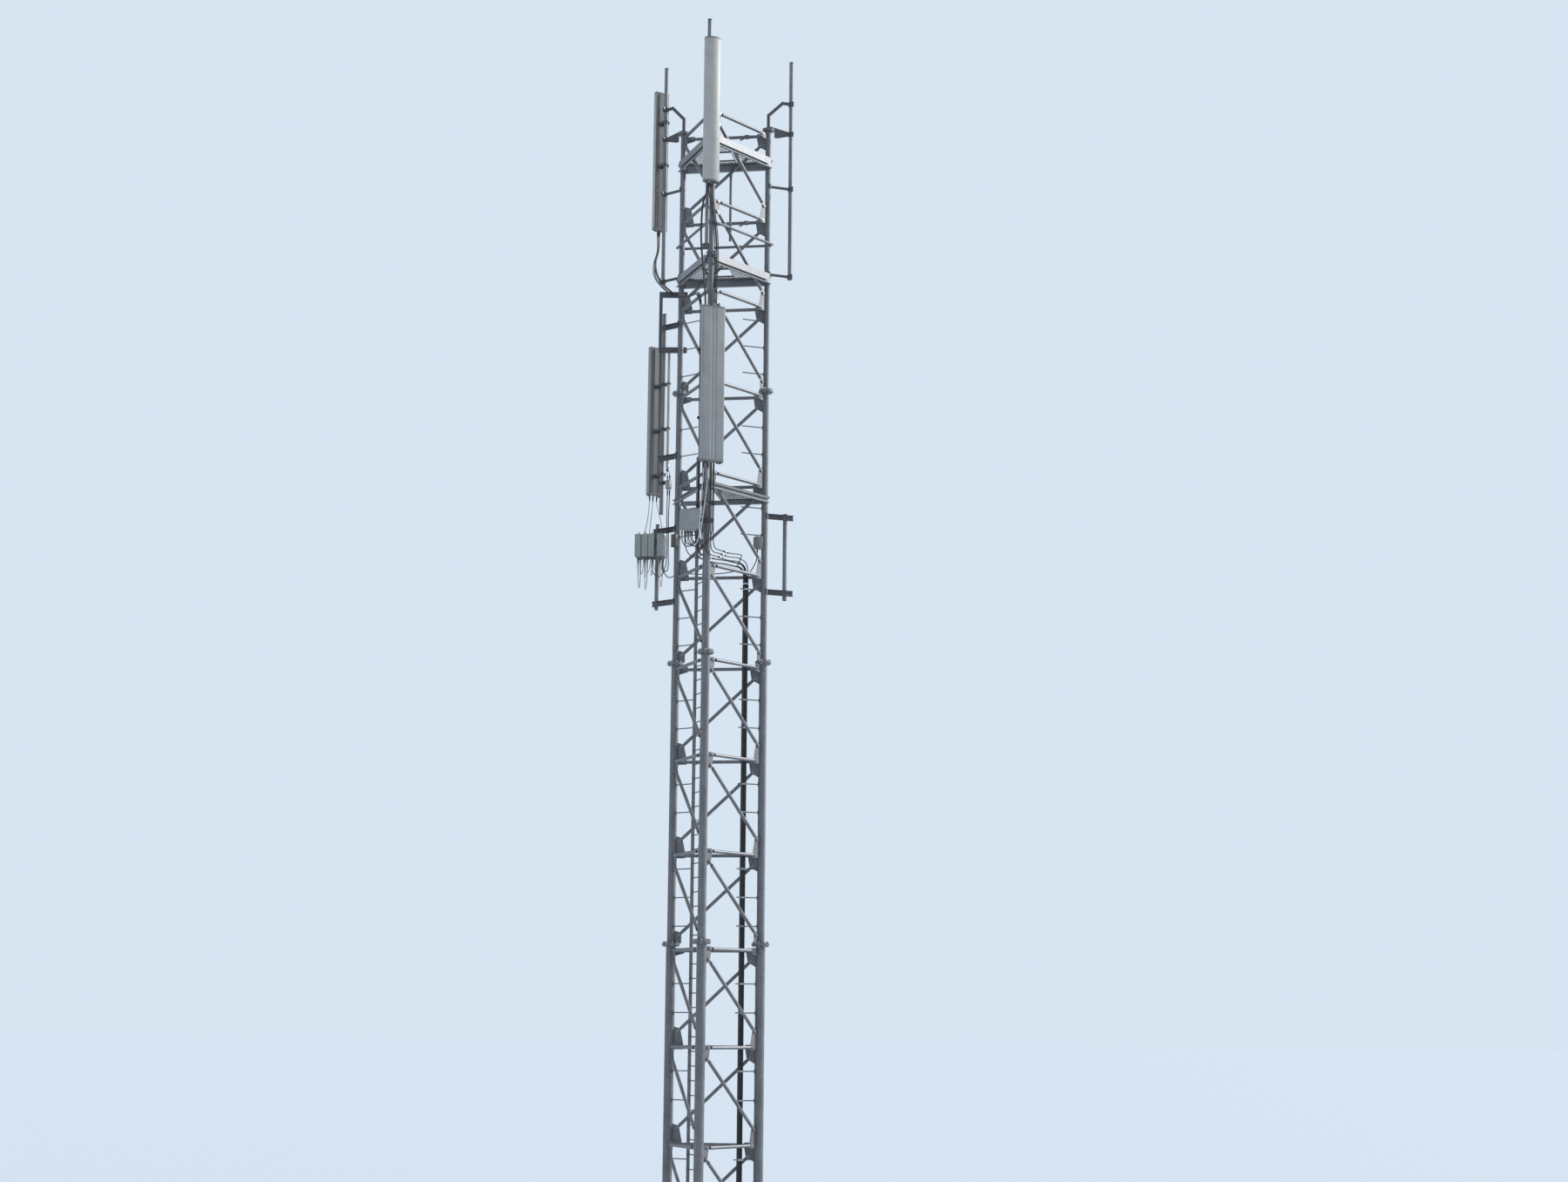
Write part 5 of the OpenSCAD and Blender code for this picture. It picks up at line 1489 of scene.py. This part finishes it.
RADIO_ROUTES = [
    [(-1.41, 1.795, 13.2097), (-1.41, 1.795, 13.1), (-1.44, 1.73, 12.65), (-1.5, 1.675, 12.35),
     (-1.52, 1.65, 12.0), (-1.52, 1.6, 11.62), (-1.52, 1.5, 11.42), (-1.52, 1.41, 11.56),
     (-1.52, 1.39, 11.88), (-1.52, 1.39, 11.9697)],
    [(-1.358, 1.843, 13.2097), (-1.358, 1.843, 13.1), (-1.38, 1.76, 12.65), (-1.392, 1.7, 12.35),
     (-1.395, 1.65, 12.0), (-1.395, 1.6, 11.59), (-1.395, 1.5, 11.39), (-1.395, 1.41, 11.53),
     (-1.395, 1.39, 11.88), (-1.395, 1.39, 11.9697)],
    [(-1.3, 1.898, 13.2097), (-1.3, 1.898, 13.1), (-1.19, 1.8, 12.7), (-1.12, 1.715, 12.35),
     (-1.11, 1.65, 12.0), (-1.11, 1.6, 11.63), (-1.11, 1.5, 11.43), (-1.11, 1.41, 11.57),
     (-1.11, 1.39, 11.88), (-1.11, 1.39, 11.9697)],
    [(-1.09, 1.55, 11.9697), (-1.09, 1.55, 11.87), (-1.06, 1.545, 11.7), (-0.98, 1.53, 11.61),
     (-0.86, 1.495, 11.63), (-0.72, 1.465, 11.655), (-0.3, 1.452, 11.64), (0.1, 1.452, 11.66),
     (0.28, 1.425, 11.685), (0.41, 1.37, 11.69), (0.475, 1.318, 11.64), (0.4963, 1.3037, 11.53),
     (0.4963, 1.3037, 11.46), (0.4963, 1.3037, 11.3803)],
]
SLIM_ROUTES = [
    [(-1.058, 1.602, 13.6797), (-1.058, 1.602, 13.64), (-1.052, 1.598, 13.56), (-1.038, 1.591, 13.49),
     (-1.038, 1.591, 13.4353)],
    [(-1.038, 1.59, 13.6797), (-1.038, 1.59, 13.64), (-1.003, 1.57, 13.565), (-0.995, 1.566, 13.49),
     (-0.995, 1.566, 13.4353)],
    [(-1.038, 1.591, 13.2547), (-1.038, 1.591, 13.15), (-1.01, 1.44, 12.65), (-1.005, 1.44, 12.4),
     (-1.005, 1.45, 12.0), (-1.04, 1.465, 11.76), (-1.13, 1.47, 11.62), (-1.23, 1.47, 11.66),
     (-1.275, 1.47, 11.79), (-1.275, 1.47, 11.88), (-1.275, 1.47, 11.9697)],
    [(-0.995, 1.566, 13.2547), (-0.995, 1.566, 13.15), (-0.975, 1.41, 12.65), (-0.97, 1.405, 12.4),
     (-0.97, 1.415, 12.0), (-0.971, 1.422, 11.77), (-0.988, 1.43, 11.72), (-1.028, 1.436, 11.703),
     (-1.068, 1.44, 11.72), (-1.085, 1.44, 11.77), (-1.085, 1.44, 11.87), (-1.085, 1.44, 11.9697)],
]
BOX_ROUTES = [
    [(-0.38, -0.125, 12.1497), (-0.38, -0.125, 12.05), face_point(-0.285, 0.266, 11.9),
     face_point(-0.225, 0.262, 11.77), face_point(-0.1, 0.268, 11.71)] + run_in(2, 2, 0.252),
    [(-0.15, -0.125, 12.1497), (-0.15, -0.125, 12.06), face_point(-0.18, 0.07, 11.93),
     face_point(-0.15, 0.1, 11.8), face_point(-0.07, 0.15, 11.712), face_point(0.04, 0.202, 11.702)]
    + run_in(2, 1, 0.226),
    [(0.031, -0.647, 13.2597), (0.031, -0.647, 13.15), (0.0, -0.57, 12.85), (-0.05, -0.42, 12.5),
     (-0.085, -0.32, 12.25), (-0.1, -0.265, 12.05), (-0.15, -0.215, 11.89), (-0.23, -0.178, 11.85),
     (-0.31, -0.155, 11.92), (-0.33, -0.15, 12.05), (-0.33, -0.15, 12.1497)],
    [(0.105, -0.597, 13.2597), (0.105, -0.597, 13.15), (0.07, -0.5, 12.85), (0.0, -0.36, 12.5),
     (-0.05, -0.27, 12.25), (-0.085, -0.23, 12.08), (-0.13, -0.2, 11.96), (-0.19, -0.172, 11.905),
     (-0.248, -0.156, 11.94), (-0.27, -0.15, 12.02), (-0.27, -0.15, 12.1497)],
    [(0.6838, 1.3069, 12.0597), (0.6838, 1.3069, 11.96), (0.67, 1.303, 11.85), (0.6, 1.29, 11.7),
     (0.53, 1.281, 11.58), (0.5104, 1.2792, 11.48), (0.5104, 1.2792, 11.3803)],
]
ROUTES = FRONT_ROUTES + LEFT_ROUTES + RADIO_ROUTES + SLIM_ROUTES + BOX_ROUTES
print("routes:", len(ROUTES))

# %% [markdown]
# The upper antennas have more jumpers than the frame carries. These five are clamped beside the others all
# the way down the front leg, so each one follows another's points at a small distance, and loops into the
# box radio.

# %% Jumpers clamped beside the others
BOX_PORTS = (-0.180, -0.240, -0.300, -0.360, -0.420)


def beside(route, shift, port_x, drop):
    """Route beside another one, down the leg and up into a port of the box radio."""
    x, y = shift
    wide = 1.4
    followed = [(px + x * wide, py + y * wide, pz) for px, py, pz in route[:2]]
    followed += [(px + x, py + y, pz) for px, py, pz in route[2:] if pz > 12.2]
    start = followed[-1]
    loop = [(start[0], start[1] - 0.03, 12.08)]
    for share in (0.3, 0.7):
        loop.append((start[0] + (port_x - start[0]) * share, -0.195, 11.90 - drop))
    return followed + loop + [(port_x, -0.165, 11.98), (port_x, -0.16, 12.06), (port_x, -0.16, 12.1497)]


EXTRA_ROUTES = [
    beside(FRONT_ROUTES[0], (0.020, -0.018), BOX_PORTS[0], 0.0),
    beside(FRONT_ROUTES[1], (-0.020, -0.018), BOX_PORTS[1], 0.03),
    beside(FRONT_ROUTES[2], (-0.022, -0.015), BOX_PORTS[2], 0.06),
    beside(LEFT_ROUTES[0], (-0.022, 0.018), BOX_PORTS[3], 0.02),
    beside(LEFT_ROUTES[1], (-0.024, -0.014), BOX_PORTS[4], 0.05),
]
ROUTES += EXTRA_ROUTES
print("routes with these:", len(ROUTES))

# %% Cables through their routes
JUMPER_R = 0.009


def mean_direction(points, i):
    """Mean of the directions into and out of a route's point."""
    before = (points[i] - points[i - 1]).normalized() if i > 0 else Vector()
    after = (points[i + 1] - points[i]).normalized() if i < len(points) - 1 else Vector()
    return (before + after).normalized()


def cable(name, route, radius, finish, steps=8):
    """Round cable on a smooth curve through a route's points."""
    points = [Vector(point) for point in route]
    line = bpy.data.curves.new(name, "CURVE")
    line.dimensions = "3D"
    line.resolution_u = steps
    run = line.splines.new("BEZIER")
    run.bezier_points.add(len(points) - 1)
    for i, place in enumerate(run.bezier_points):
        way = mean_direction(points, i)
        back = (points[i] - points[i - 1]).length / 3 if i > 0 else 0.01
        ahead = (points[i + 1] - points[i]).length / 3 if i < len(points) - 1 else 0.01
        place.handle_left_type = "FREE"
        place.handle_right_type = "FREE"
        place.co = points[i]
        place.handle_left = points[i] - way * back
        place.handle_right = points[i] + way * ahead
    line.bevel_depth = radius
    line.bevel_resolution = 2
    line.use_fill_caps = True
    made = mesh_from(name, line)
    bpy.ops.object.shade_smooth()
    return paint(made, finish)


BLACK = FINISHES["cable_jacket"]
pale_routes = RADIO_ROUTES[:3] + SLIM_ROUTES[:2] + BOX_ROUTES[2:4]
black_routes = [route for route in ROUTES if route not in pale_routes]
jumpers = [cable("jumper", route, JUMPER_R, BLACK) for route in black_routes]
jumpers += [cable("pale_jumper", route, JUMPER_R, pale_jacket) for route in pale_routes]
jumper_cables = join("jumpers", jumpers)
finish_piece(jumper_cables, "cable_jacket", "jumper_cables")

# %% [markdown]
# ## Connectors
# A jumper never meets a case bare. A nickel-plated coupling nut screws onto the port, and a black boot
# keeps water out of it. At a feeder's top the connector is larger, and a long shrink boot covers the joint.


# %% Connector templates and places
def coupling(name, boot_share=1.0):
    """Jumper connector along +Z, away from the case; boot_share shortens its boot where room is scarce."""
    nut = hex_drum("nut", 0.027, 0.002, 0.018, True)
    paint(nut, nickel)
    collar = stepped_drum("collar", [
        (0.0, 0.016), (0.004, 0.016), (0.004, 0.0115), (0.026, 0.0115), (0.026, 0.013), (0.034, 0.013),
    ], nickel)
    boot_steps = [(0.030, 0.0145), (0.052, 0.0145), (0.060, 0.0125), (0.100, 0.0115), (0.118, 0.0100)]
    boot_steps = [(0.030 + (height - 0.030) * boot_share, radius) for height, radius in boot_steps]
    return join(name, [nut, collar, stepped_drum("boot", boot_steps, boot_rubber)])


def splice(name):
    """Feeder connector along +Z, standing on a feeder's top."""
    sleeve = stepped_drum("sleeve", [
        (-0.110, 0.0150), (-0.100, 0.0165), (-0.010, 0.0172), (0.012, 0.0172), (0.020, 0.0150),
    ], boot_rubber)
    body = stepped_drum("body", [
        (0.016, 0.0135), (0.030, 0.0135), (0.030, 0.0150), (0.046, 0.0150), (0.046, 0.0125), (0.058, 0.0125),
    ], nickel)
    boot = stepped_drum("boot", [
        (0.054, 0.0140), (0.080, 0.0135), (0.110, 0.0115), (0.135, 0.0100),
    ], boot_rubber)
    return join(name, [sleeve, body, boot])


def end_place(point, toward):
    """Matrix at a route's end with +Z along the cable."""
    return Matrix.Translation(point) @ up_from(Vector(toward) - Vector(point))


case_ends = []
short_ends = []
feeder_ends = []
for route in ROUTES:
    ends = short_ends if route in SLIM_ROUTES[:2] else case_ends
    ends.append(end_place(route[0], route[1]))
    last_ends = ends if route[-1][2] > FEEDER_TOP + 0.1 else feeder_ends
    last_ends.append(end_place(route[-1], route[-2]))
couplings = copies("couplings", coupling("coupling"), case_ends)
short_couplings = copies("short_couplings", coupling("short_coupling", 0.62), short_ends)
splices = copies("splices", splice("splice"), feeder_ends)
cable_ends = join("cable_connectors", [couplings, short_couplings, splices])
finish_piece(cable_ends, "cable_jacket")
print("connectors:", len(case_ends) + len(short_ends), "on cases and", len(feeder_ends), "on feeders")

# %% [markdown]
# The cases have more ports than jumpers. Each spare port is a short socket with a dust cap. They stand in
# rows under the antennas, and one more is under the box radio.

# %% Spare ports
PORT_ROWS = (
    (UPPER_FRONT, (-0.110, 0.065, 0.110), (0.06,)),
    (UPPER_LEFT, (-0.110, -0.075, 0.085), (0.06,)),
    (LOWER_FRONT, (-0.16, -0.11, 0.11, 0.16), (0.04, 0.075)),
    (LOWER_LEFT, (-0.115, 0.115), (LEFT_GAP - ANT_GAP + 0.04, LEFT_GAP - ANT_GAP + 0.075)),
)
port_places = []
for place, spread, depths in PORT_ROWS:
    for y in spread:
        for x in depths:
            port_places.append(place @ shift(POLE_R + ANT_GAP + x, y, 0.0) @ up_from((0, 0, -1)))
port_places.append(box_place @ shift(0.100, 0.330, 0.0) @ up_from((0, 0, -1)))
socket_steps = [(-0.004, 0.016), (0.003, 0.016), (0.003, 0.010), (0.012, 0.010)]
dust_cap_steps = [(0.008, 0.0125), (0.024, 0.0125), (0.027, 0.0095)]
spare_port = join("spare_port", [
    stepped_drum("socket", socket_steps, nickel, sides=12),
    stepped_drum("dust_cap", dust_cap_steps, boot_rubber, sides=12),
])
spare_ports = copies("spare_ports", spare_port, port_places)
finish_piece(spare_ports, "cable_jacket")

# %% [markdown]
# Thin tails hang in loops under the radio units, from port to port, and the jumpers that cross to the
# feeders have joints on the way: a nickel coupling between two black boots. One joint is modelled and
# copied.

# %% Tails under the radios and joints in the jumpers
TAIL_R = 0.005
TAIL_DROPS = (
    (0, 0, 0.34), (0, 1, 0.30), (1, 1, 0.37), (1, 2, 0.27), (2, 2, 0.33), (2, 3, 0.25), (3, 3, 0.36),
)


def hung_below(start, end, share, drop):
    """Point under the straight line from start to end."""
    return start.lerp(end, share) - Vector((0, 0, drop))


tails = []
for n, (first, last, drop) in enumerate(TAIL_DROPS):
    side = -PORT_X if first == last else PORT_X
    start = unit_places[first] @ Vector((side, PORT_YS[1], -0.010))
    end = unit_places[last] @ Vector((-side, PORT_YS[0], -0.010))
    route = [start, hung_below(start, end, 0, 0.09), hung_below(start, end, 0.25, drop * 0.8)]
    route += [hung_below(start, end, 0.5, drop) + Vector((0, -0.01, 0))]
    route += [hung_below(start, end, 0.75, drop * 0.8), hung_below(start, end, 1, 0.09), end]
    tails.append(cable("radio_tail", route, TAIL_R, pale_jacket if n % 3 == 0 else BLACK))
joint = join("joint", [
    stepped_drum("low_boot", [(-0.070, 0.0105), (-0.060, 0.0150), (-0.012, 0.0165)], boot_rubber),
    stepped_drum("sleeve", [(-0.016, 0.0180), (0.016, 0.0180)], nickel),
    stepped_drum("high_boot", [(0.012, 0.0165), (0.060, 0.0150), (0.070, 0.0105)], boot_rubber),
])
JOINT_SHARES = (0.25, 0.75, 0.5, 0.3, 0.7)
joint_places = []
for share, route in zip(JOINT_SHARES, FRONT_ROUTES + LEFT_ROUTES):
    start = Vector(route[-10])
    end = Vector(route[-9])
    joint_places.append(end_place(start.lerp(end, share), end))
tail_pieces = tails + [copies("joints", joint, joint_places)]
finish_piece(join("tails_and_joints", tail_pieces), "cable_jacket")

# %% [markdown]
# ## Feeder hangers
# The feeders stand in a square bundle beside the brackets of the right leg. At each bracket a bent strap
# holds the bundle: a block whose top and bottom are deleted, with rounded corners, thickened by Solidify.


# %% Straps round the feeder bundle
FIRST_BRACKET = 0.315
BRACKET_PITCH = 0.5


def near_gusset(height, below, above):
    """True where gusset plates, which reach below and above each level, leave no room for a fitting."""
    levels = [level(section, panel) for section in (1, 2, 3, 4) for panel in range(PANELS + 1)]
    return any(place - below < height < place + above for place in levels)


def open_strap(name, low, high, corner, thick, finish):
    """Closed strap standing on edge, with rounded corners."""
    strap = block(name, low, high)
    edit(strap)
    pick_faces(strap, lambda middle, normal: abs(normal.z) > 0.9)
    bpy.ops.mesh.delete(type="FACE")
    round_edges(strap, corner, 3, lambda a, b: abs(a.z - b.z) > 0.5 * (high[2] - low[2]))
    modify(strap, "SOLIDIFY", thickness=thick, offset=1.0)
    return paint(strap, finish)


bracket_heights = [FIRST_BRACKET + BRACKET_PITCH * n for n in range(33)]
hanger_places = []
for height in bracket_heights:
    if height < FEEDER_TOP and not near_gusset(height, 0.235, 0.345):
        hanger_places.append(at_leg("right", height))
strap = open_strap("strap", (-0.3762, -0.0115, -0.016), (-0.2884, 0.0962, 0.016), 0.010, 0.0025, bright_zinc)
strap_bolt = bolt_at("strap_bolt", 0.010, 0.003, (-0.318, 0.0990, 0), (0, -1, 0))
hanger = join("hanger", [strap, strap_bolt])
feeder_hangers = copies("feeder_hangers", hanger, hanger_places)
finish_piece(feeder_hangers, "galvanised_small")
print("hangers:", len(hanger_places))

# %% [markdown]
# ## Clamps and U-bolts
# Every arm grips its pole or leg. Pole bands are made in two halves, with ears and bolts on each side of
# the split. A saddle on a leg is pulled tight by U-bolts that pass round the leg's inner side. A U-bolt is
# the clearest use of spin: a small circle is spun through half a turn, and its two ends are extruded
# straight. A hook bolt is made the same way, with one of its ends left short.


# %% U-bolts and split ears
def u_bolt(name, tube_radius, rod_radius, reach, threaded=(-1, 1)):
    """U-bolt round a tube at the origin; its threaded ends point towards +X and have nuts there."""
    rest_hands()
    bend = tube_radius + rod_radius
    turn = (0, math.pi / 2, 0)
    bpy.ops.mesh.primitive_circle_add(vertices=8, radius=rod_radius, location=(0, bend, 0), rotation=turn)
    hoop = bpy.context.object
    bpy.ops.object.transform_apply(location=True, rotation=True, scale=True)
    edit(hoop)
    bpy.ops.mesh.select_all(action="SELECT")
    bpy.ops.mesh.spin(steps=14, angle=math.pi, center=(0, 0, 0), axis=(0, 0, 1))
    for side in (-1, 1):
        pick_edges(hoop, lambda a, b: max(abs(a.x), abs(b.x)) < 1e-5 and a.y * side > 0 and b.y * side > 0)
        if side in threaded:
            extrude(reach, 0, 0)
        bpy.ops.mesh.edge_face_add()
    bpy.ops.mesh.select_all(action="SELECT")
    bpy.ops.mesh.normals_make_consistent(inside=False)
    smooth(hoop, 50)
    parts = [paint(hoop, bright_zinc)]
    start = reach - 0.022
    for y in [side * bend for side in threaded]:
        nut = hex_drum("nut", rod_radius * 3.4, 0.0, 0.011, True)
        nut.data.transform(shift(start, y, 0) @ up_from((1, 0, 0)))
        washer = drum("washer", rod_radius * 2.2, start - 0.003, start, sides=12, axis="X", at=(y, 0))
        parts += [paint(nut, bright_zinc), paint(washer, bright_zinc)]
    return join(name, parts)


sample = u_bolt("sample_u_bolt", POLE_R, 0.006, 0.040)
xs = [round(point.co.x, 4) for point in sample.data.vertices]
print("a U-bolt has", len(sample.data.polygons), "faces and runs in X from", min(xs), "to", max(xs))
bpy.data.objects.remove(sample)

# %% Ears on the pole bands
ear_parts = []
for side in (-1, 1):
    for x in (-1, 1):
        near, far = sorted((x * 0.004, x * 0.014))
        ear = block("ear", (near, 0.044, -0.040), (far, 0.082, 0.040))
        edit(ear)
        round_edges(ear, 0.010, 3, lambda a, b: abs(a.x - b.x) > 0.005 and a.y > 0.08 and b.y > 0.08)
        rest_hands()
        ear.data.transform(turned(0 if side > 0 else 180))
        ear_parts.append(paint(ear, bracket_zinc))
    for z in (-0.022, 0.022):
        ear_parts.append(bolt_at("ear_bolt", 0.019, 0.028, (-0.014, side * 0.064, z), (1, 0, 0)))
band_ears = join("band_ears", ear_parts)

HEAD_UP = 4 * SECTION + 0.0003 + 0.020
BENT_RISE = 0.270 + 0.280
SADDLE_HEIGHTS = (18.910, 17.170 + 0.050)
band_places = []
for leg in LEG_PLACES:
    for height in (HEAD_UP + BENT_RISE, HEAD_UP - 0.040, *SADDLE_HEIGHTS):
        band_places.append(at_leg(leg, height) @ shift(TOP_ARM, 0, 0))
pole_clamp_ears = copies("pole_clamp_ears", band_ears, band_places)
finish_piece(pole_clamp_ears, "galvanised_bracket")
print("pole bands:", len(band_places))

# %% U-bolts on the legs and on the lower poles
CHANNEL_ARMS = (
    ("left", 16.320, LEFT_ARM, -1), ("left", 13.840, LEFT_ARM, -1),
    ("left", 12.480, RADIO_ARM, -1), ("left", 11.140, RADIO_ARM, -1),
    ("front", 15.700, FRONT_ARM, 1), ("front", 13.840, FRONT_ARM, 1),
    ("right", 12.680, FRONT_ARM, 1), ("right", 11.290, FRONT_ARM, 1),
)
HOOK_HEIGHTS = (19.285, 19.335, 17.060, 17.110)
leg_hoops = {3: [], 4: []}
for leg in LEG_PLACES:
    for height in SADDLE_HEIGHTS:
        for step in (-0.026, 0.026):
            leg_hoops[4].append(at_leg(leg, height + step))
for leg, height, distance, side in CHANNEL_ARMS:
    for step in (-0.036, 0.036):
        if not near_gusset(height + step, 0.30, 0.37):
            leg_hoops[4 if height > 3 * SECTION else 3].append(at_leg(leg, height + step))
hoops = []
for section, places in leg_hoops.items():
    radius = LEG_RADII[section - 1]
    hoops.append(copies("leg_hoops", u_bolt("leg_hoop", radius + CLEARANCE, 0.007, 0.045), places))
pole_hoop_places = []
for leg, height, distance, side in CHANNEL_ARMS:
    for step in (-0.030, 0.030):
        beside_leg = at_leg(leg, height + step) @ shift(distance, side * POLE_SIDE, 0)
        pole_hoop_places.append(beside_leg @ turned(-90 * side))
hoops.append(copies("pole_hoops", u_bolt("pole_hoop", POLE_R + CLEARANCE, 0.006, 0.066), pole_hoop_places))
for side, along in ((1, 0.0), (-1, FACE)):
    hook = u_bolt("hook_bolt", LEG_RADII[3] + CLEARANCE, 0.006, 0.086, threaded=(side,))
    hook_places = []
    for face in FACE_STARTS:
        for height in HOOK_HEIGHTS:
            hook_places.append(at_face(face, height) @ shift(along, 0, 0) @ turned(-90))
    hoops.append(copies("hook_bolts", hook, hook_places))
arm_u_bolts = join("arm_u_bolts", hoops)
finish_piece(arm_u_bolts, "galvanised_bracket")
print("U-bolts:", len(leg_hoops[3]) + len(leg_hoops[4]) + len(pole_hoop_places))

# %% [markdown]
# ## Jumper clamps on the front leg
# Down the front leg the jumpers stand in three bundles. Plastic blocks hold them, each on a short arm from
# a band round the leg. The four sides of a block are inset as one region and pushed out, so a belt runs
# round it.

# %% Jumper clamps
CLAMP_HEIGHTS = (12.62, 14.20, 15.45)
BUNDLES = ((-52.8, 0.153, 0.066, 0.015), (-114.8, 0.155, 0.030, 0.016), (167.2, 0.180, 0.052, 0.026))
clamp_parts = []
for height in CLAMP_HEIGHTS:
    radius = leg_radius(height)
    ring = paint(open_ring("clamp_ring", radius, 0.002, 0.030), bright_zinc)
    ring.data.transform(shift(0, 0, height))
    clamp_parts.append(ring)
    for turn, distance, half, thick in BUNDLES:
        holder = block("holder", (distance - thick, -half, -0.022), (distance + thick, half, 0.022))
        edit(holder)
        pick_faces(holder, lambda middle, normal: abs(normal.z) < 0.1)
        bpy.ops.mesh.inset(thickness=0.008)
        bpy.ops.mesh.extrude_region_shrink_fatten(TRANSFORM_OT_shrink_fatten={"value": 0.003})
        rest_hands()
        soften(holder, 0.0015, 1)
        arm_high = (distance - thick + 0.002, 0.010, 0.004)
        arm = soft_block("holder_arm", (radius + 0.002, -0.010, -0.004), arm_high, 0.001, 1, bright_zinc)
        clamp = join("clamp", [paint(holder, boot_rubber), arm])
        clamp.data.transform(shift(0, 0, height) @ turned(turn))
        clamp_parts.append(clamp)
finish_piece(join("jumper_clamps", clamp_parts), "galvanised_small")

# %% [markdown]
# ## Spare clamps on the back face
# Two horizontals of the back face carry an empty clamp: a short band like those on the legs, turned to lie
# round the horizontal, and a stub of tube that points down and into the tower.

# %% Spare clamps
BRACE_R = 0.03015
spare_clamps = []
for panel in (0, 1):
    band = leg_band("spare_band", BRACE_R, 0.008, 0.070)
    band.data.transform(turned(90, "Y"))
    stub_steps = [(BRACE_R + 0.004, 0.015), (0.150, 0.015), (0.154, 0.011)]
    stub = stepped_drum("stub", stub_steps, FINISHES["galvanised_brace"])
    stub.data.transform(up_from((-0.80, -0.30, -0.52)))
    spare = join("spare_clamp", [band, stub])
    spare.data.transform(shift(0.4, DEPTH, level(4, panel)))
    spare_clamps.append(spare)
finish_piece(join("spare_clamps", spare_clamps), "galvanised_bracket")

# %% [markdown]
# ## Pole caps
# A moulded cap closes the top of each pole, so that rain doesn't stand in it. It starts as a short drum
# with a wider rim, and its top face is extruded and drawn in twice into a low dome.

# %% Caps on the poles
CAP_STEPS = [
    (-0.010, POLE_R + 0.0012), (0.004, POLE_R + 0.0020), (0.009, POLE_R * 0.80), (0.012, POLE_R * 0.4),
]
POLE_TOPS = (
    (LEFT_TOP, 21.39), (FRONT_TOP, 21.46 - 0.012), (RIGHT_TOP, 21.39), (LEFT_LOW, 16.60), (RADIO_POLE, 12.62),
    (FRONT_LOW, 15.99), (SPARE_POLE, 12.75),
)
cap_top = stepped_drum("cap", CAP_STEPS, boot_rubber, sides=28)
cap_places = [shift(pole.x, pole.y, height) for pole, height in POLE_TOPS]
finish_piece(copies("pole_caps", cap_top, cap_places), "cable_jacket")
